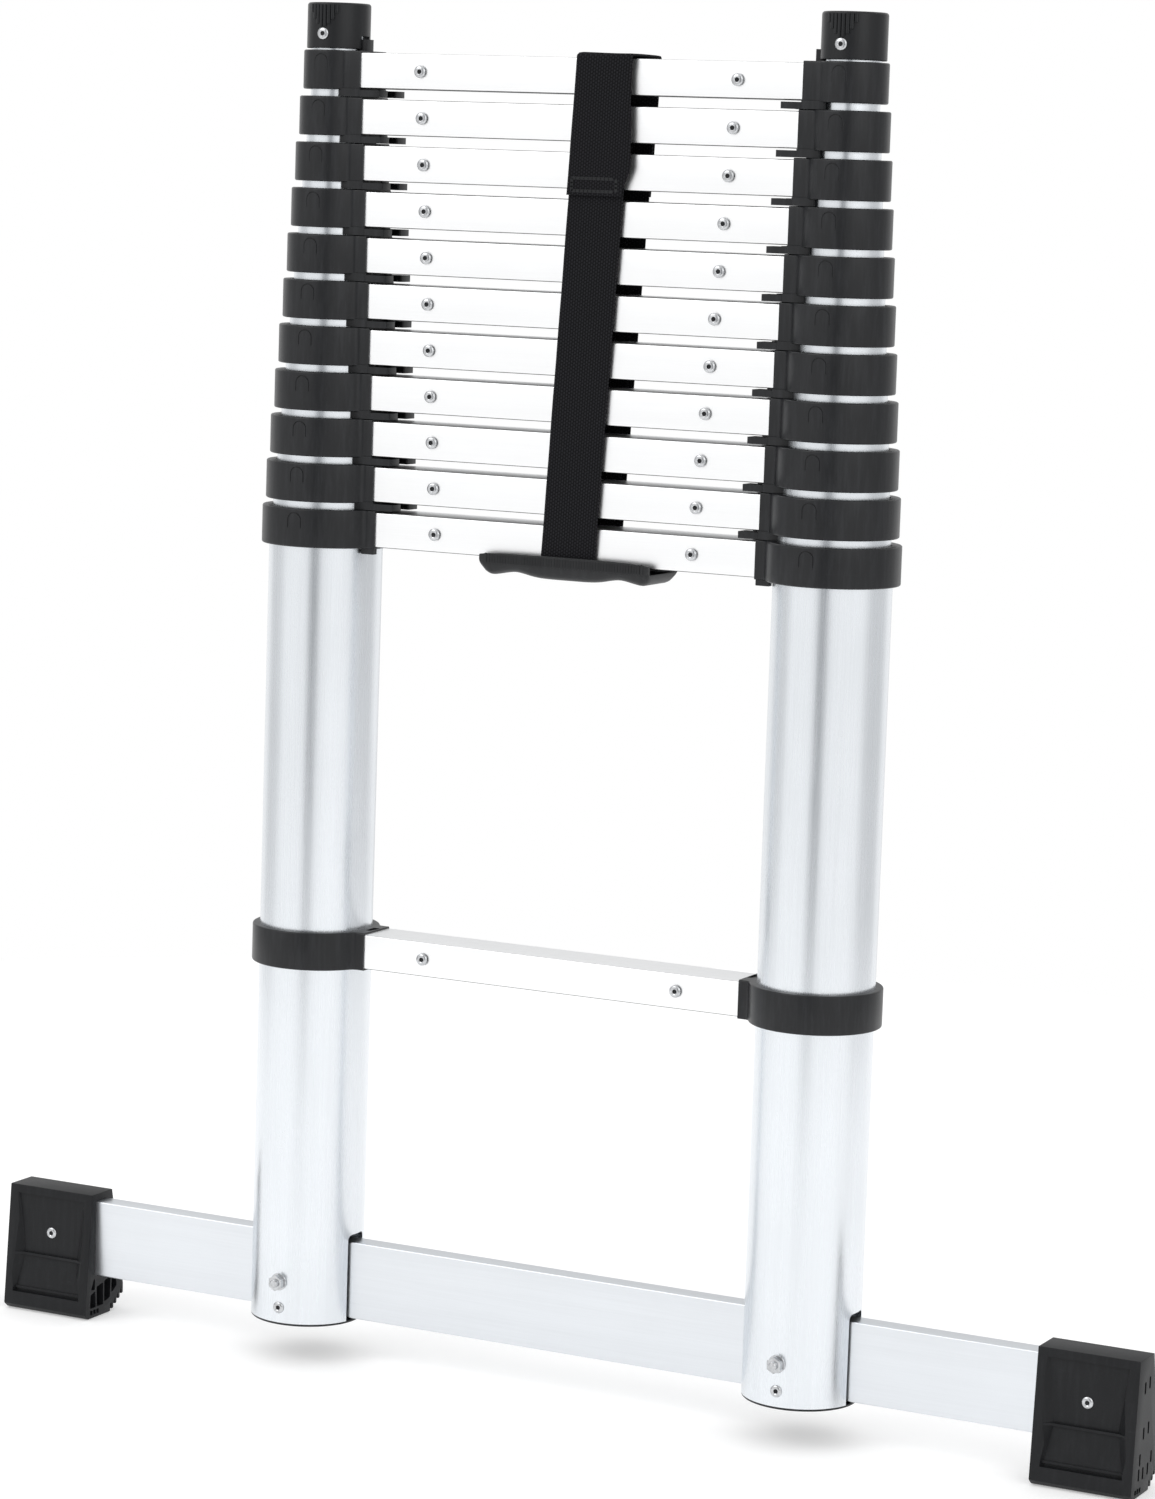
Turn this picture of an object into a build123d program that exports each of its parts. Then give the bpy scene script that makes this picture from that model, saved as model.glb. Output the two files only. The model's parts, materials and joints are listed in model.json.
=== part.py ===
from build123d import *
import math
import os

# Collapsed telescopic ladder: eleven nested tube pairs, each with a rung on top, standing on a
# stabiliser bar with two moulded feet. Millimetres. Origin on the floor, midway between the
# stiles: +X along the bar, +Z up, -Y is the side that the climber faces.

# ---- stiles and sections ---------------------------------------------------------------------
STILE_SPACING = 392.0  # between the axes of the left and right tubes
BASE_TUBE_RADIUS = 40.25
TUBE_WALL = 1.5
TUBE_GAP = 0.65  # radial clearance between one tube and the next
SLIDING_SECTIONS = 10
RUNG_SPACING = 300.0  # between rungs when a section is drawn out and locked
TUBE_OVERLAP = 70.0  # of two tubes when drawn out

# ---- rungs -----------------------------------------------------------------------------------
RUNG_HEIGHT = 27.0
RUNG_DEPTH = 37.0
RUNG_WALL = 1.6
RUNG_CORNER = 2.0
STACK_GAP = 4.8  # finger gap between collapsed rungs
BASE_RUNG_Z = 602.0  # centre of the rung on top of the base tubes
MIDDLE_RUNG_Z = BASE_RUNG_Z - RUNG_SPACING

# ---- collars that join rung to tube ----------------------------------------------------------
RING_WALL = 5.3
BLOCK_REACH = 9.25  # from the tube's surface to the end of the rung
BLOCK_BLEND = 5.0
COLLAR_EDGE = 1.0
LIP_HEIGHT = 1.5  # covers the end of the tube
PLUG_LENGTH = 56.0  # the part of the collar inside the rung
PLUG_CLEARANCE = 0.25
PLUG_END_WALL = 3.0
TAB_SIZE = 11.0  # moulded snap tab outline on the ring
TAB_GROOVE = 0.8
TAB_DEPTH = 0.7
WEDGE_INNER = 1.0  # from the tube's surface
WEDGE_OUTER = 6.5
WEDGE_TAPER = 1.3
WEDGE_HEIGHT = 8.0
WEDGE_WIDTH = 9.0
WEDGE_CLEARANCE = 0.6
SPACER_CLEARANCE = 0.2
SPACER_LENGTH = 16.0
SPACER_DEPTH = 10.0
TONGUE_LENGTH = 15.0
TONGUE_INNER = 6.0
TONGUE_OUTER = 12.0

# ---- locks -----------------------------------------------------------------------------------
PIN_RADIUS = 4.8
PIN_CLEARANCE = 0.25
PIN_LENGTH = 45.0
PIN_SETBACK = 1.0  # of the drawn-back tip behind the tube's outer surface
SPRING_RADIUS = 3.8
SPRING_WIRE = 0.9
SPRING_TURNS = 5
SPRING_CLEARANCE = 0.3

# ---- release buttons -------------------------------------------------------------------------
BUTTON_LENGTH = 10.0
BUTTON_DEPTH = 4.5
BUTTON_PROUD = 4.0
BUTTON_TRAVEL = 4.0
BUTTON_HEIGHT = 9.0
BUTTON_INSET = 0.8  # from the block's front and end faces
BUTTON_CLEARANCE = 0.4
STEM_LENGTH = 5.0
STEM_DEPTH = 3.0
STEM_HEIGHT = 12.0

# ---- rivets and bolts ------------------------------------------------------------------------
RIVET_HEAD_RADIUS = 4.3
RIVET_HEAD_HEIGHT = 1.4
RIVET_TAPER = 35.0  # degrees, of the head's flank
RIVET_BODY_RADIUS = 2.4
RIVET_BODY_LENGTH = 9.0
RIVET_HOLE_RADIUS = 1.3
RIVET_FIT = 0.1
RUNG_RIVET_SETBACK = 47.5  # from the end of the rung
BOLT_RADIUS = 3.0
BOLT_HOLE_RADIUS = 3.3
NUT_FLATS = 10.0
NUT_HEIGHT = 5.0
WASHER_RADIUS = 6.2
WASHER_HEIGHT = 1.2
BOLT_HEAD_HEIGHT = 4.0
BOLT_TAIL = 2.6

# ---- stabiliser bar and its seat in the tubes ------------------------------------------------
BAR_HEIGHT = 60.0
BAR_THICKNESS = 20.0
BAR_WALL = 2.0
BAR_CORNER = 3.0
BAR_BOTTOM_Z = 30.0
BAR_LENGTH = 876.0
SLOT_CLEARANCE = 0.5
SLOT_HEADROOM = 4.0
SLOT_CORNER = 4.0
TUBE_PLUG_FLANGE = 1.7
TUBE_PLUG_HEIGHT = 20.0
TUBE_PLUG_FIT = 0.2
PLUG_RIVET_Z = 41.0

# ---- feet ------------------------------------------------------------------------------------
FOOT_WIDTH = 72.0
FOOT_OUTER_X = 445.0
FOOT_TOP_WALL = 3.5
FOOT_SIDE_WALL = 3.5
FOOT_FRONT_BOTTOM = 20.5
FOOT_FLAT_FRONT = 16.0
FOOT_FLAT_BACK = 14.0
FOOT_FRONT_LIFT = 4.0
HEEL_BACK = 31.0
HEEL_LIFT = 12.0
HEEL_STEPS = 4
TOOTH_GAP = 1.4
FOOT_FIT = 0.2
PANEL_BORDER = 7.0
PANEL_SILL = 13.0
PANEL_DEPTH = 1.2
LEDGE_HEIGHT = 1.6
LEDGE_LIFTS = (17.0, 42.0)
CELL_WALL = 3.0
CELL_HEIGHT = 17.0
CELL_FLOOR = 8.0
CELL_COUNT = 3

# ---- end caps --------------------------------------------------------------------------------
CAP_WALL = 3.4
CAP_HEIGHT = 31.5
CAP_TOP_WALL = 3.5
CAP_SEAT_GAP = 1.2
CAP_EDGE = 1.5
CAP_NOTCH_HEIGHT = 9.0
CAP_RIVET_LIFT = 10.0

# ---- carry handle and strap ------------------------------------------------------------------
STRAP_WIDTH = 41.0
STRAP_THICKNESS = 2.0
STRAP_CLEARANCE = 0.4
STRAP_BOTTOM_X = 7.0
STRAP_LEAN = 16.0  # sideways, from the handle to the top rung
FLAP_LENGTH = 94.0
FLAP_EXTRA_WIDTH = 3.0
FLAP_LAP = 40.0  # hook-and-loop overlap behind the flap
HANDLE_X = 5.0
HANDLE_LENGTH = 130.0
HANDLE_WALL = 3.2
HANDLE_LIP = 5.0  # height that the lips reach up the rung
HANDLE_GRIP = 8.6  # thickness under the strap at the lobes
FINGER_DEPTH = 3.0
FINGER_RADIUS = 28.0
FINGER_PITCH = 40.0

# ---- derived sizes ---------------------------------------------------------------------------
STILE_X = STILE_SPACING / 2
TUBE_STEP = TUBE_WALL + TUBE_GAP
STACK_PITCH = RUNG_HEIGHT + STACK_GAP
TRAVEL = RUNG_SPACING - STACK_PITCH
TUBE_LENGTH = TRAVEL + STACK_PITCH + TUBE_OVERLAP
HALF_RUNG = RUNG_HEIGHT / 2
BAR_CENTRE_Z = BAR_BOTTOM_Z + BAR_HEIGHT / 2
SPACER_HEIGHT = STACK_GAP - SPACER_CLEARANCE
TOP_RUNG_Z = BASE_RUNG_Z + SLIDING_SECTIONS * STACK_PITCH


def tube_radius(section):
    """Outer radius of a section's tubes; section 0 is the base."""
    return BASE_TUBE_RADIUS - section * TUBE_STEP


def rung_z(section):
    """Height of a section's rung centre when collapsed."""
    return BASE_RUNG_Z + section * STACK_PITCH


def rung_half_length(section):
    """From the middle of a rung to where it meets its collar."""
    return STILE_X - tube_radius(section) - BLOCK_REACH


def export(part, name):
    """Label a finished piece and write it to its own file."""
    part.label = name
    export_step(part, f"parts/{name}.step")


def make_rung(section, height):
    """Hollow rung with rivet holes through its front and back walls."""
    half = rung_half_length(section)
    rivet_x = half - RUNG_RIVET_SETBACK
    with BuildPart() as rung:
        with BuildSketch(Plane.YZ.offset(-half)):
            with Locations((0, height)):
                RectangleRounded(RUNG_DEPTH, RUNG_HEIGHT, RUNG_CORNER)
                Rectangle(RUNG_DEPTH - 2 * RUNG_WALL, RUNG_HEIGHT - 2 * RUNG_WALL, mode=Mode.SUBTRACT)
        extrude(amount=2 * half)
        with BuildSketch(Plane.XZ):
            with Locations((-rivet_x, height), (rivet_x, height)):
                Circle(RIVET_BODY_RADIUS + RIVET_FIT)
        extrude(amount=RUNG_DEPTH, both=True, mode=Mode.SUBTRACT)
    return rung.part


def make_collars(section, height, stacked=False, topped=False, locking=False, button=False):
    """Pair of collars: ring round the tube, block at the rung's end and plug inside the rung.

    stacked adds the spacers and the wedge pocket below, topped adds the wedge and the snap tab,
    locking adds the pin's bore and the lip over the tube's end, and button cuts the way of a
    release button.
    """
    radius = tube_radius(section)
    block_x = rung_half_length(section)
    bottom = height - HALF_RUNG
    top = height + HALF_RUNG
    with BuildPart() as collars:
        with BuildSketch(Plane.XY.offset(bottom)) as plan:
            with Locations((STILE_X, 0)):
                Circle(radius + RING_WALL)
            with Locations(((STILE_X + block_x) / 2, 0)):
                Rectangle(STILE_X - block_x, RUNG_DEPTH)
            fillet(plan.vertices().group_by(Axis.X)[1], radius=BLOCK_BLEND)
        extrude(amount=RUNG_HEIGHT)
        rims = collars.faces().filter_by(Axis.Z).edges().group_by(Axis.X)[1:]
        chamfer([edge for rim in rims for edge in rim], length=COLLAR_EDGE)
        # plug inside the hollow rung
        with BuildSketch(Plane.YZ.offset(block_x - PLUG_LENGTH)):
            with Locations((0, height)):
                inner_gap = RUNG_WALL + PLUG_CLEARANCE
                RectangleRounded(RUNG_DEPTH - 2 * inner_gap, RUNG_HEIGHT - 2 * inner_gap, RUNG_CORNER)
        extrude(amount=PLUG_LENGTH + BLOCK_REACH / 2)
        if stacked:
            # spacers under the block and two tongues under the rung hold the finger gap open
            with BuildSketch(Plane.XY.offset(bottom - SPACER_HEIGHT)):
                spacer_y = (RUNG_DEPTH - SPACER_DEPTH) / 2
                spacer_x = block_x + SPACER_LENGTH / 2
                with Locations((spacer_x, -spacer_y), (spacer_x, spacer_y)):
                    Rectangle(SPACER_LENGTH, SPACER_DEPTH)
            extrude(amount=SPACER_HEIGHT + COLLAR_EDGE)
            with BuildSketch(Plane.XY.offset(bottom - SPACER_HEIGHT)):
                tongue_y = (TONGUE_INNER + TONGUE_OUTER) / 2
                tongue_x = block_x + (BLOCK_REACH / 2 - TONGUE_LENGTH) / 2
                with Locations((tongue_x, -tongue_y), (tongue_x, tongue_y)):
                    Rectangle(TONGUE_LENGTH + BLOCK_REACH / 2, TONGUE_OUTER - TONGUE_INNER)
            extrude(amount=SPACER_HEIGHT)
            # pocket for the wedge of the collar below
            pocket_end = STILE_X - radius - WEDGE_INNER - TUBE_STEP + WEDGE_CLEARANCE
            with BuildSketch(Plane.XY.offset(bottom)):
                with Locations(((block_x + pocket_end) / 2, 0)):
                    Rectangle(pocket_end - block_x, WEDGE_WIDTH + 2 * WEDGE_CLEARANCE)
            extrude(amount=WEDGE_HEIGHT - STACK_GAP + WEDGE_CLEARANCE, mode=Mode.SUBTRACT)
        if topped:
            with BuildSketch(Plane.XZ.offset(-WEDGE_WIDTH / 2)):
                with BuildLine():
                    Polyline(
                        (STILE_X - radius - WEDGE_OUTER, top - COLLAR_EDGE),
                        (STILE_X - radius - WEDGE_OUTER, top),
                        (STILE_X - radius - WEDGE_OUTER + WEDGE_TAPER, top + WEDGE_HEIGHT),
                        (STILE_X - radius - WEDGE_INNER, top + WEDGE_HEIGHT),
                        (STILE_X - radius - WEDGE_INNER, top - COLLAR_EDGE),
                        close=True,
                    )
                make_face()
            extrude(amount=WEDGE_WIDTH)
        # bore for the tube, with a lip over the tube's end
        with BuildSketch(Plane.XY.offset(bottom - STACK_GAP)):
            with Locations((STILE_X, 0)):
                Circle(radius)
        extrude(amount=STACK_GAP + RUNG_HEIGHT - (LIP_HEIGHT if locking else 0), mode=Mode.SUBTRACT)
        if locking:
            with BuildSketch(Plane.XY.offset(top - LIP_HEIGHT)):
                with Locations((STILE_X, 0)):
                    Circle(radius - TUBE_WALL)
            extrude(amount=LIP_HEIGHT, mode=Mode.SUBTRACT)
            # bore for the lock pin and its spring
            with BuildSketch(Plane.YZ.offset(block_x - PLUG_LENGTH + PLUG_END_WALL)):
                with Locations((0, height)):
                    Circle(PIN_RADIUS + PIN_CLEARANCE)
            extrude(amount=PLUG_LENGTH + BLOCK_REACH + radius / 2, mode=Mode.SUBTRACT)
        if topped:
            # outline of the snap tab on the front of the ring
            with BuildSketch(Plane.XZ.offset(-radius - RING_WALL - TAB_GROOVE)):
                with Locations((STILE_X, height)):
                    SlotOverall(TAB_SIZE * 2, TAB_SIZE, rotation=90)
                    inside = TAB_SIZE - 2 * TAB_GROOVE
                    SlotOverall(TAB_SIZE + inside, inside, rotation=90, mode=Mode.SUBTRACT)
                with Locations((STILE_X, height - TAB_SIZE)):
                    Rectangle(TAB_SIZE * 2, TAB_SIZE, mode=Mode.SUBTRACT)
            extrude(amount=TAB_GROOVE + TAB_DEPTH, mode=Mode.SUBTRACT)
        # rivet holes in the plug
        with BuildSketch(Plane.XZ):
            with Locations((block_x - RUNG_RIVET_SETBACK, height)):
                Circle(RIVET_BODY_RADIUS + RIVET_FIT)
        extrude(amount=RUNG_DEPTH, both=True, mode=Mode.SUBTRACT)
        if button:
            with BuildSketch(Plane.XY.offset(bottom)):
                with Locations((button_x(), button_y())):
                    Rectangle(BUTTON_LENGTH + 2 * BUTTON_CLEARANCE, BUTTON_DEPTH + 2 * BUTTON_CLEARANCE)
            pad_top = BUTTON_HEIGHT - BUTTON_PROUD + BUTTON_TRAVEL
            extrude(amount=pad_top + BUTTON_CLEARANCE, mode=Mode.SUBTRACT)
            with BuildSketch(Plane.XY.offset(bottom)):
                with Locations((button_x(), button_y())):
                    Rectangle(STEM_LENGTH + 2 * BUTTON_CLEARANCE, STEM_DEPTH + 2 * BUTTON_CLEARANCE)
            stem_top = BUTTON_HEIGHT - BUTTON_PROUD + STEM_HEIGHT + BUTTON_TRAVEL
            extrude(amount=stem_top + BUTTON_CLEARANCE, mode=Mode.SUBTRACT)
        mirror(about=Plane.YZ)
    return collars.part


def cap_rivet_z():
    """Height of the rivets that hold the end caps."""
    return TOP_RUNG_Z + HALF_RUNG + CAP_SEAT_GAP + CAP_RIVET_LIFT


def button_x():
    """Middle of the right release button, just outboard of the base rung's end."""
    return rung_half_length(0) + BUTTON_INSET + BUTTON_LENGTH / 2


def button_y():
    """Middle of a release button, just behind the block's front face."""
    return -RUNG_DEPTH / 2 + BUTTON_INSET + BUTTON_DEPTH / 2


def make_tubes(section):
    """Pair of sliding tubes with the holes that the lock pins need."""
    radius = tube_radius(section)
    top = rung_z(section) + HALF_RUNG - LIP_HEIGHT
    bottom = top - TUBE_LENGTH
    hole_heights = [rung_z(section - 1) - TRAVEL]
    if section == SLIDING_SECTIONS:
        top = rung_z(section) + HALF_RUNG + CAP_SEAT_GAP + CAP_HEIGHT - CAP_TOP_WALL
    else:
        hole_heights.append(rung_z(section))
    with BuildPart() as tubes:
        with BuildSketch(Plane.XY.offset(bottom)):
            with Locations((STILE_X, 0)):
                Circle(radius)
                Circle(radius - TUBE_WALL, mode=Mode.SUBTRACT)
        extrude(amount=top - bottom)
        with BuildSketch(Plane.YZ.offset(STILE_X - radius - TUBE_WALL)):
            with Locations(*[(0, height) for height in hole_heights]):
                Circle(PIN_RADIUS + PIN_CLEARANCE)
        extrude(amount=radius, mode=Mode.SUBTRACT)
        if section == SLIDING_SECTIONS:
            with BuildSketch(Plane.XZ):
                with Locations((STILE_X, cap_rivet_z())):
                    Circle(RIVET_BODY_RADIUS + RIVET_FIT)
            extrude(amount=2 * radius, mode=Mode.SUBTRACT)
        mirror(about=Plane.YZ)
    return tubes.part


def make_base_tube():
    """Right base tube, notched from below for the stabiliser bar."""
    bottom = BAR_BOTTOM_Z
    top = BASE_RUNG_Z + HALF_RUNG - LIP_HEIGHT
    slot_width = BAR_THICKNESS + 2 * SLOT_CLEARANCE
    slot_height = BAR_HEIGHT + SLOT_HEADROOM
    with BuildPart() as tube:
        with BuildSketch(Plane.XY.offset(bottom)):
            with Locations((STILE_X, 0)):
                Circle(BASE_TUBE_RADIUS)
                Circle(BASE_TUBE_RADIUS - TUBE_WALL, mode=Mode.SUBTRACT)
        extrude(amount=top - bottom)
        with BuildSketch(Plane.YZ.offset(STILE_X)):
            # the rounded slot starts a little below the tube so that its mouth is square
            with Locations((0, bottom + (slot_height - SLOT_CORNER) / 2)):
                RectangleRounded(slot_width, slot_height + SLOT_CORNER, SLOT_CORNER)
            with Locations((0, bottom)):
                Rectangle(slot_width, 2 * SLOT_CORNER)
        extrude(amount=BASE_TUBE_RADIUS + TUBE_WALL, both=True, mode=Mode.SUBTRACT)
        with BuildSketch(Plane.YZ.offset(STILE_X - BASE_TUBE_RADIUS - TUBE_WALL)):
            with Locations((0, BASE_RUNG_Z)):
                Circle(PIN_RADIUS + PIN_CLEARANCE)
        extrude(amount=BASE_TUBE_RADIUS, mode=Mode.SUBTRACT)
        with BuildSketch(Plane.XZ):
            with Locations((STILE_X, BAR_CENTRE_Z)):
                Circle(BOLT_HOLE_RADIUS)
        extrude(amount=2 * BASE_TUBE_RADIUS, both=True, mode=Mode.SUBTRACT)
        with BuildSketch(Plane.XZ):
            with Locations((STILE_X, PLUG_RIVET_Z)):
                Circle(RIVET_BODY_RADIUS + RIVET_FIT)
        extrude(amount=2 * BASE_TUBE_RADIUS, mode=Mode.SUBTRACT)
    return tube.part


def make_tube_plugs():
    """Moulded plugs that close the base tubes below and wrap the bar."""
    inner = BASE_TUBE_RADIUS - TUBE_WALL - TUBE_PLUG_FIT
    with BuildPart() as plugs:
        with BuildSketch(Plane.XY.offset(BAR_BOTTOM_Z - TUBE_PLUG_FLANGE)):
            with Locations((STILE_X, 0)):
                Circle(BASE_TUBE_RADIUS - TUBE_PLUG_FIT)
        extrude(amount=TUBE_PLUG_FLANGE)
        with BuildSketch(Plane.XY.offset(BAR_BOTTOM_Z)):
            with Locations((STILE_X, 0)):
                Circle(inner)
                Rectangle(2 * BASE_TUBE_RADIUS, BAR_THICKNESS + 2 * SLOT_CLEARANCE, mode=Mode.SUBTRACT)
        extrude(amount=TUBE_PLUG_HEIGHT)
        with BuildSketch(Plane.XZ):
            with Locations((STILE_X, PLUG_RIVET_Z)):
                Circle(RIVET_BODY_RADIUS + RIVET_FIT)
        extrude(amount=2 * BASE_TUBE_RADIUS, mode=Mode.SUBTRACT)
        mirror(about=Plane.YZ)
    return plugs.part


def make_bar():
    """Hollow stabiliser bar with holes for its bolts and for the rivets of its feet."""
    with BuildPart() as bar:
        with BuildSketch(Plane.YZ.offset(-BAR_LENGTH / 2)):
            with Locations((0, BAR_CENTRE_Z)):
                RectangleRounded(BAR_THICKNESS, BAR_HEIGHT, BAR_CORNER)
                Rectangle(BAR_THICKNESS - 2 * BAR_WALL, BAR_HEIGHT - 2 * BAR_WALL, mode=Mode.SUBTRACT)
        extrude(amount=BAR_LENGTH)
        with BuildSketch(Plane.XZ):
            with Locations((-STILE_X, BAR_CENTRE_Z), (STILE_X, BAR_CENTRE_Z)):
                Circle(BOLT_HOLE_RADIUS)
        extrude(amount=BAR_THICKNESS, both=True, mode=Mode.SUBTRACT)
        with BuildSketch(Plane.XZ):
            with Locations((-foot_x(), BAR_CENTRE_Z), (foot_x(), BAR_CENTRE_Z)):
                Circle(RIVET_BODY_RADIUS + RIVET_FIT)
        extrude(amount=BAR_THICKNESS, both=True, mode=Mode.SUBTRACT)
    return bar.part


def foot_x():
    """Middle of the right foot."""
    return FOOT_OUTER_X - FOOT_WIDTH / 2


def foot_front(height):
    """Y of the foot's sloping front face at a height."""
    top = BAR_BOTTOM_Z + BAR_HEIGHT + FOOT_TOP_WALL
    top_front = BAR_THICKNESS / 2 + FOOT_SIDE_WALL
    share = (height - FOOT_FRONT_LIFT) / (top - FOOT_FRONT_LIFT)
    return -(FOOT_FRONT_BOTTOM + (top_front - FOOT_FRONT_BOTTOM) * share)


def make_foot():
    """Right foot: a wedge that hoods the bar's end, with a framed front and a stepped heel."""
    top = BAR_BOTTOM_Z + BAR_HEIGHT + FOOT_TOP_WALL
    half_top = BAR_THICKNESS / 2 + FOOT_SIDE_WALL
    inner_x = FOOT_OUTER_X - FOOT_WIDTH
    step_back = (HEEL_BACK - FOOT_FLAT_BACK) / HEEL_STEPS
    step_lift = HEEL_LIFT / HEEL_STEPS
    outline = [(-half_top, top), (half_top, top), (HEEL_BACK, HEEL_LIFT)]
    for step in reversed(range(HEEL_STEPS)):
        tooth_back = FOOT_FLAT_BACK + (step + 1) * step_back
        tooth_front = tooth_back - step_back + TOOTH_GAP
        tooth_bottom = step * step_lift
        if step < HEEL_STEPS - 1:
            outline.append((tooth_back, tooth_bottom + 2 * step_lift))
        outline.append((tooth_back, tooth_bottom + step_lift / 2))
        outline.append((tooth_front, tooth_bottom + step_lift / 2))
        outline.append((tooth_front, tooth_bottom + 2 * step_lift))
    outline += [(FOOT_FLAT_BACK, 2 * step_lift), (FOOT_FLAT_BACK, 0), (-FOOT_FLAT_FRONT, 0)]
    outline.append((-FOOT_FRONT_BOTTOM, FOOT_FRONT_LIFT))
    with BuildPart() as foot:
        with BuildSketch(Plane.YZ.offset(inner_x)):
            with BuildLine():
                Polyline(*outline, close=True)
            make_face()
        extrude(amount=FOOT_WIDTH)
        # seat of the bar
        with BuildSketch(Plane.YZ.offset(inner_x)):
            with Locations((0, BAR_CENTRE_Z)):
                Rectangle(BAR_THICKNESS + 2 * FOOT_FIT, BAR_HEIGHT + 2 * FOOT_FIT)
        extrude(amount=BAR_LENGTH / 2 - inner_x + FOOT_FIT, mode=Mode.SUBTRACT)
        # framed panel sunk into the front, with two ledges across it
        panel_y = -(half_top - PANEL_DEPTH)
        panel_top = top - PANEL_BORDER
        with BuildSketch(Plane.YZ.offset(inner_x + PANEL_BORDER)):
            with BuildLine():
                Polyline(
                    (panel_y, panel_top),
                    (panel_y, PANEL_SILL),
                    (-2 * FOOT_FRONT_BOTTOM, PANEL_SILL),
                    (-2 * FOOT_FRONT_BOTTOM, panel_top),
                    close=True,
                )
            make_face()
        extrude(amount=FOOT_WIDTH - 2 * PANEL_BORDER, mode=Mode.SUBTRACT)
        with BuildSketch(Plane.YZ.offset(inner_x + PANEL_BORDER)):
            for lift in LEDGE_LIFTS:
                with BuildLine():
                    Polyline(
                        (panel_y, lift - LEDGE_HEIGHT / 2),
                        (panel_y, lift + LEDGE_HEIGHT / 2),
                        ((panel_y + foot_front(lift)) / 2, lift + LEDGE_HEIGHT / 2),
                        ((panel_y + foot_front(lift)) / 2, lift - LEDGE_HEIGHT / 2),
                        close=True,
                    )
                make_face()
        extrude(amount=FOOT_WIDTH - 2 * PANEL_BORDER)
        # open cells in the sole's inner side
        cell_width = (half_top - panel_y - (CELL_COUNT + 1) * CELL_WALL) / CELL_COUNT
        with BuildSketch(Plane.YZ.offset(inner_x)):
            for cell in range(CELL_COUNT):
                cell_y = panel_y + CELL_WALL + cell_width / 2 + cell * (cell_width + CELL_WALL)
                with Locations((cell_y, CELL_FLOOR + CELL_HEIGHT / 2)):
                    Rectangle(cell_width, CELL_HEIGHT)
        extrude(amount=FOOT_WIDTH - PANEL_BORDER, mode=Mode.SUBTRACT)
        # rivet hole through both walls
        with BuildSketch(Plane.XZ):
            with Locations((foot_x(), BAR_CENTRE_Z)):
                Circle(RIVET_BODY_RADIUS + RIVET_FIT)
        extrude(amount=2 * HEEL_BACK, both=True, mode=Mode.SUBTRACT)
    return foot.part


def make_rivet():
    """Blind rivet standing on the XY plane: domed head, body and the pulled mandrel's hole."""
    with BuildPart() as rivet:
        with BuildSketch():
            Circle(RIVET_HEAD_RADIUS)
        extrude(amount=RIVET_HEAD_HEIGHT, taper=RIVET_TAPER)
        with BuildSketch():
            Circle(RIVET_BODY_RADIUS)
        extrude(amount=-RIVET_BODY_LENGTH)
        with BuildSketch(Plane.XY.offset(RIVET_HEAD_HEIGHT)):
            Circle(RIVET_HOLE_RADIUS)
        extrude(amount=-RIVET_HEAD_HEIGHT - RIVET_BODY_RADIUS, mode=Mode.SUBTRACT)
    return rivet.part


def front_and_back(half_x, height, face_y):
    """Planes on a front face at -face_y and a back face at face_y, left and right."""
    planes = []
    for outward in (-1, 1):
        for x in (-half_x, half_x):
            planes.append(Plane(origin=(x, outward * face_y, height), z_dir=(0, outward, 0)))
    return planes


def make_lock(section):
    """Right lock of a collar: the pin, drawn back, and the coil spring behind it."""
    tip_x = STILE_X - tube_radius(section) + PIN_SETBACK
    tail_x = tip_x - PIN_LENGTH
    spring_end = rung_half_length(section) - PLUG_LENGTH + PLUG_END_WALL
    spring_length = tail_x - spring_end - 2 * SPRING_CLEARANCE - 2 * SPRING_WIRE
    with BuildPart() as pin:
        with BuildSketch(Plane.YZ.offset(tail_x)):
            with Locations((0, rung_z(section))):
                Circle(PIN_RADIUS)
        extrude(amount=PIN_LENGTH)
        chamfer(pin.edges().group_by(Axis.X)[-1], length=PIN_SETBACK)
    spring_start = (spring_end + SPRING_CLEARANCE + SPRING_WIRE, 0, rung_z(section))
    with BuildPart() as spring:
        with BuildLine() as coil:
            pitch = spring_length / SPRING_TURNS
            Helix(pitch, spring_length, SPRING_RADIUS, center=spring_start, direction=(1, 0, 0))
        with BuildSketch(Plane(origin=coil.line @ 0, z_dir=coil.line % 0)):
            Circle(SPRING_WIRE / 2)
        sweep(is_frenet=True)
    return [pin.part, spring.part]


def make_fittings(section):
    """Rivets of one rung with the lock pins and springs of its two collars."""
    rivet_x = rung_half_length(section) - RUNG_RIVET_SETBACK
    height = rung_z(section)
    locks = make_lock(section) if section < SLIDING_SECTIONS else []
    rivet = make_rivet()
    with BuildPart() as fittings:
        with Locations(*front_and_back(rivet_x, height, RUNG_DEPTH / 2)):
            add(rivet)
        for piece in locks:
            add(piece)
            mirror(piece, about=Plane.YZ)
        if section == SLIDING_SECTIONS:
            cap_radius = tube_radius(section) + CAP_WALL
            with Locations(*front_and_back(STILE_X, cap_rivet_z(), cap_radius)[:2]):
                add(rivet)
    return fittings.part


def make_base_rivets():
    """Rivets of the middle rung, the tube plugs and the feet."""
    rivet = make_rivet()
    rivet_x = rung_half_length(0) - RUNG_RIVET_SETBACK
    foot_face = BAR_THICKNESS / 2 + FOOT_SIDE_WALL - PANEL_DEPTH
    with BuildPart() as rivets:
        with Locations(*front_and_back(rivet_x, MIDDLE_RUNG_Z, RUNG_DEPTH / 2)):
            add(rivet)
        with Locations(*front_and_back(STILE_X, PLUG_RIVET_Z, BASE_TUBE_RADIUS)[:2]):
            add(rivet)
        with Locations(*front_and_back(foot_x(), BAR_CENTRE_Z, foot_face)[:2]):
            add(rivet)
    return rivets.part


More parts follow.
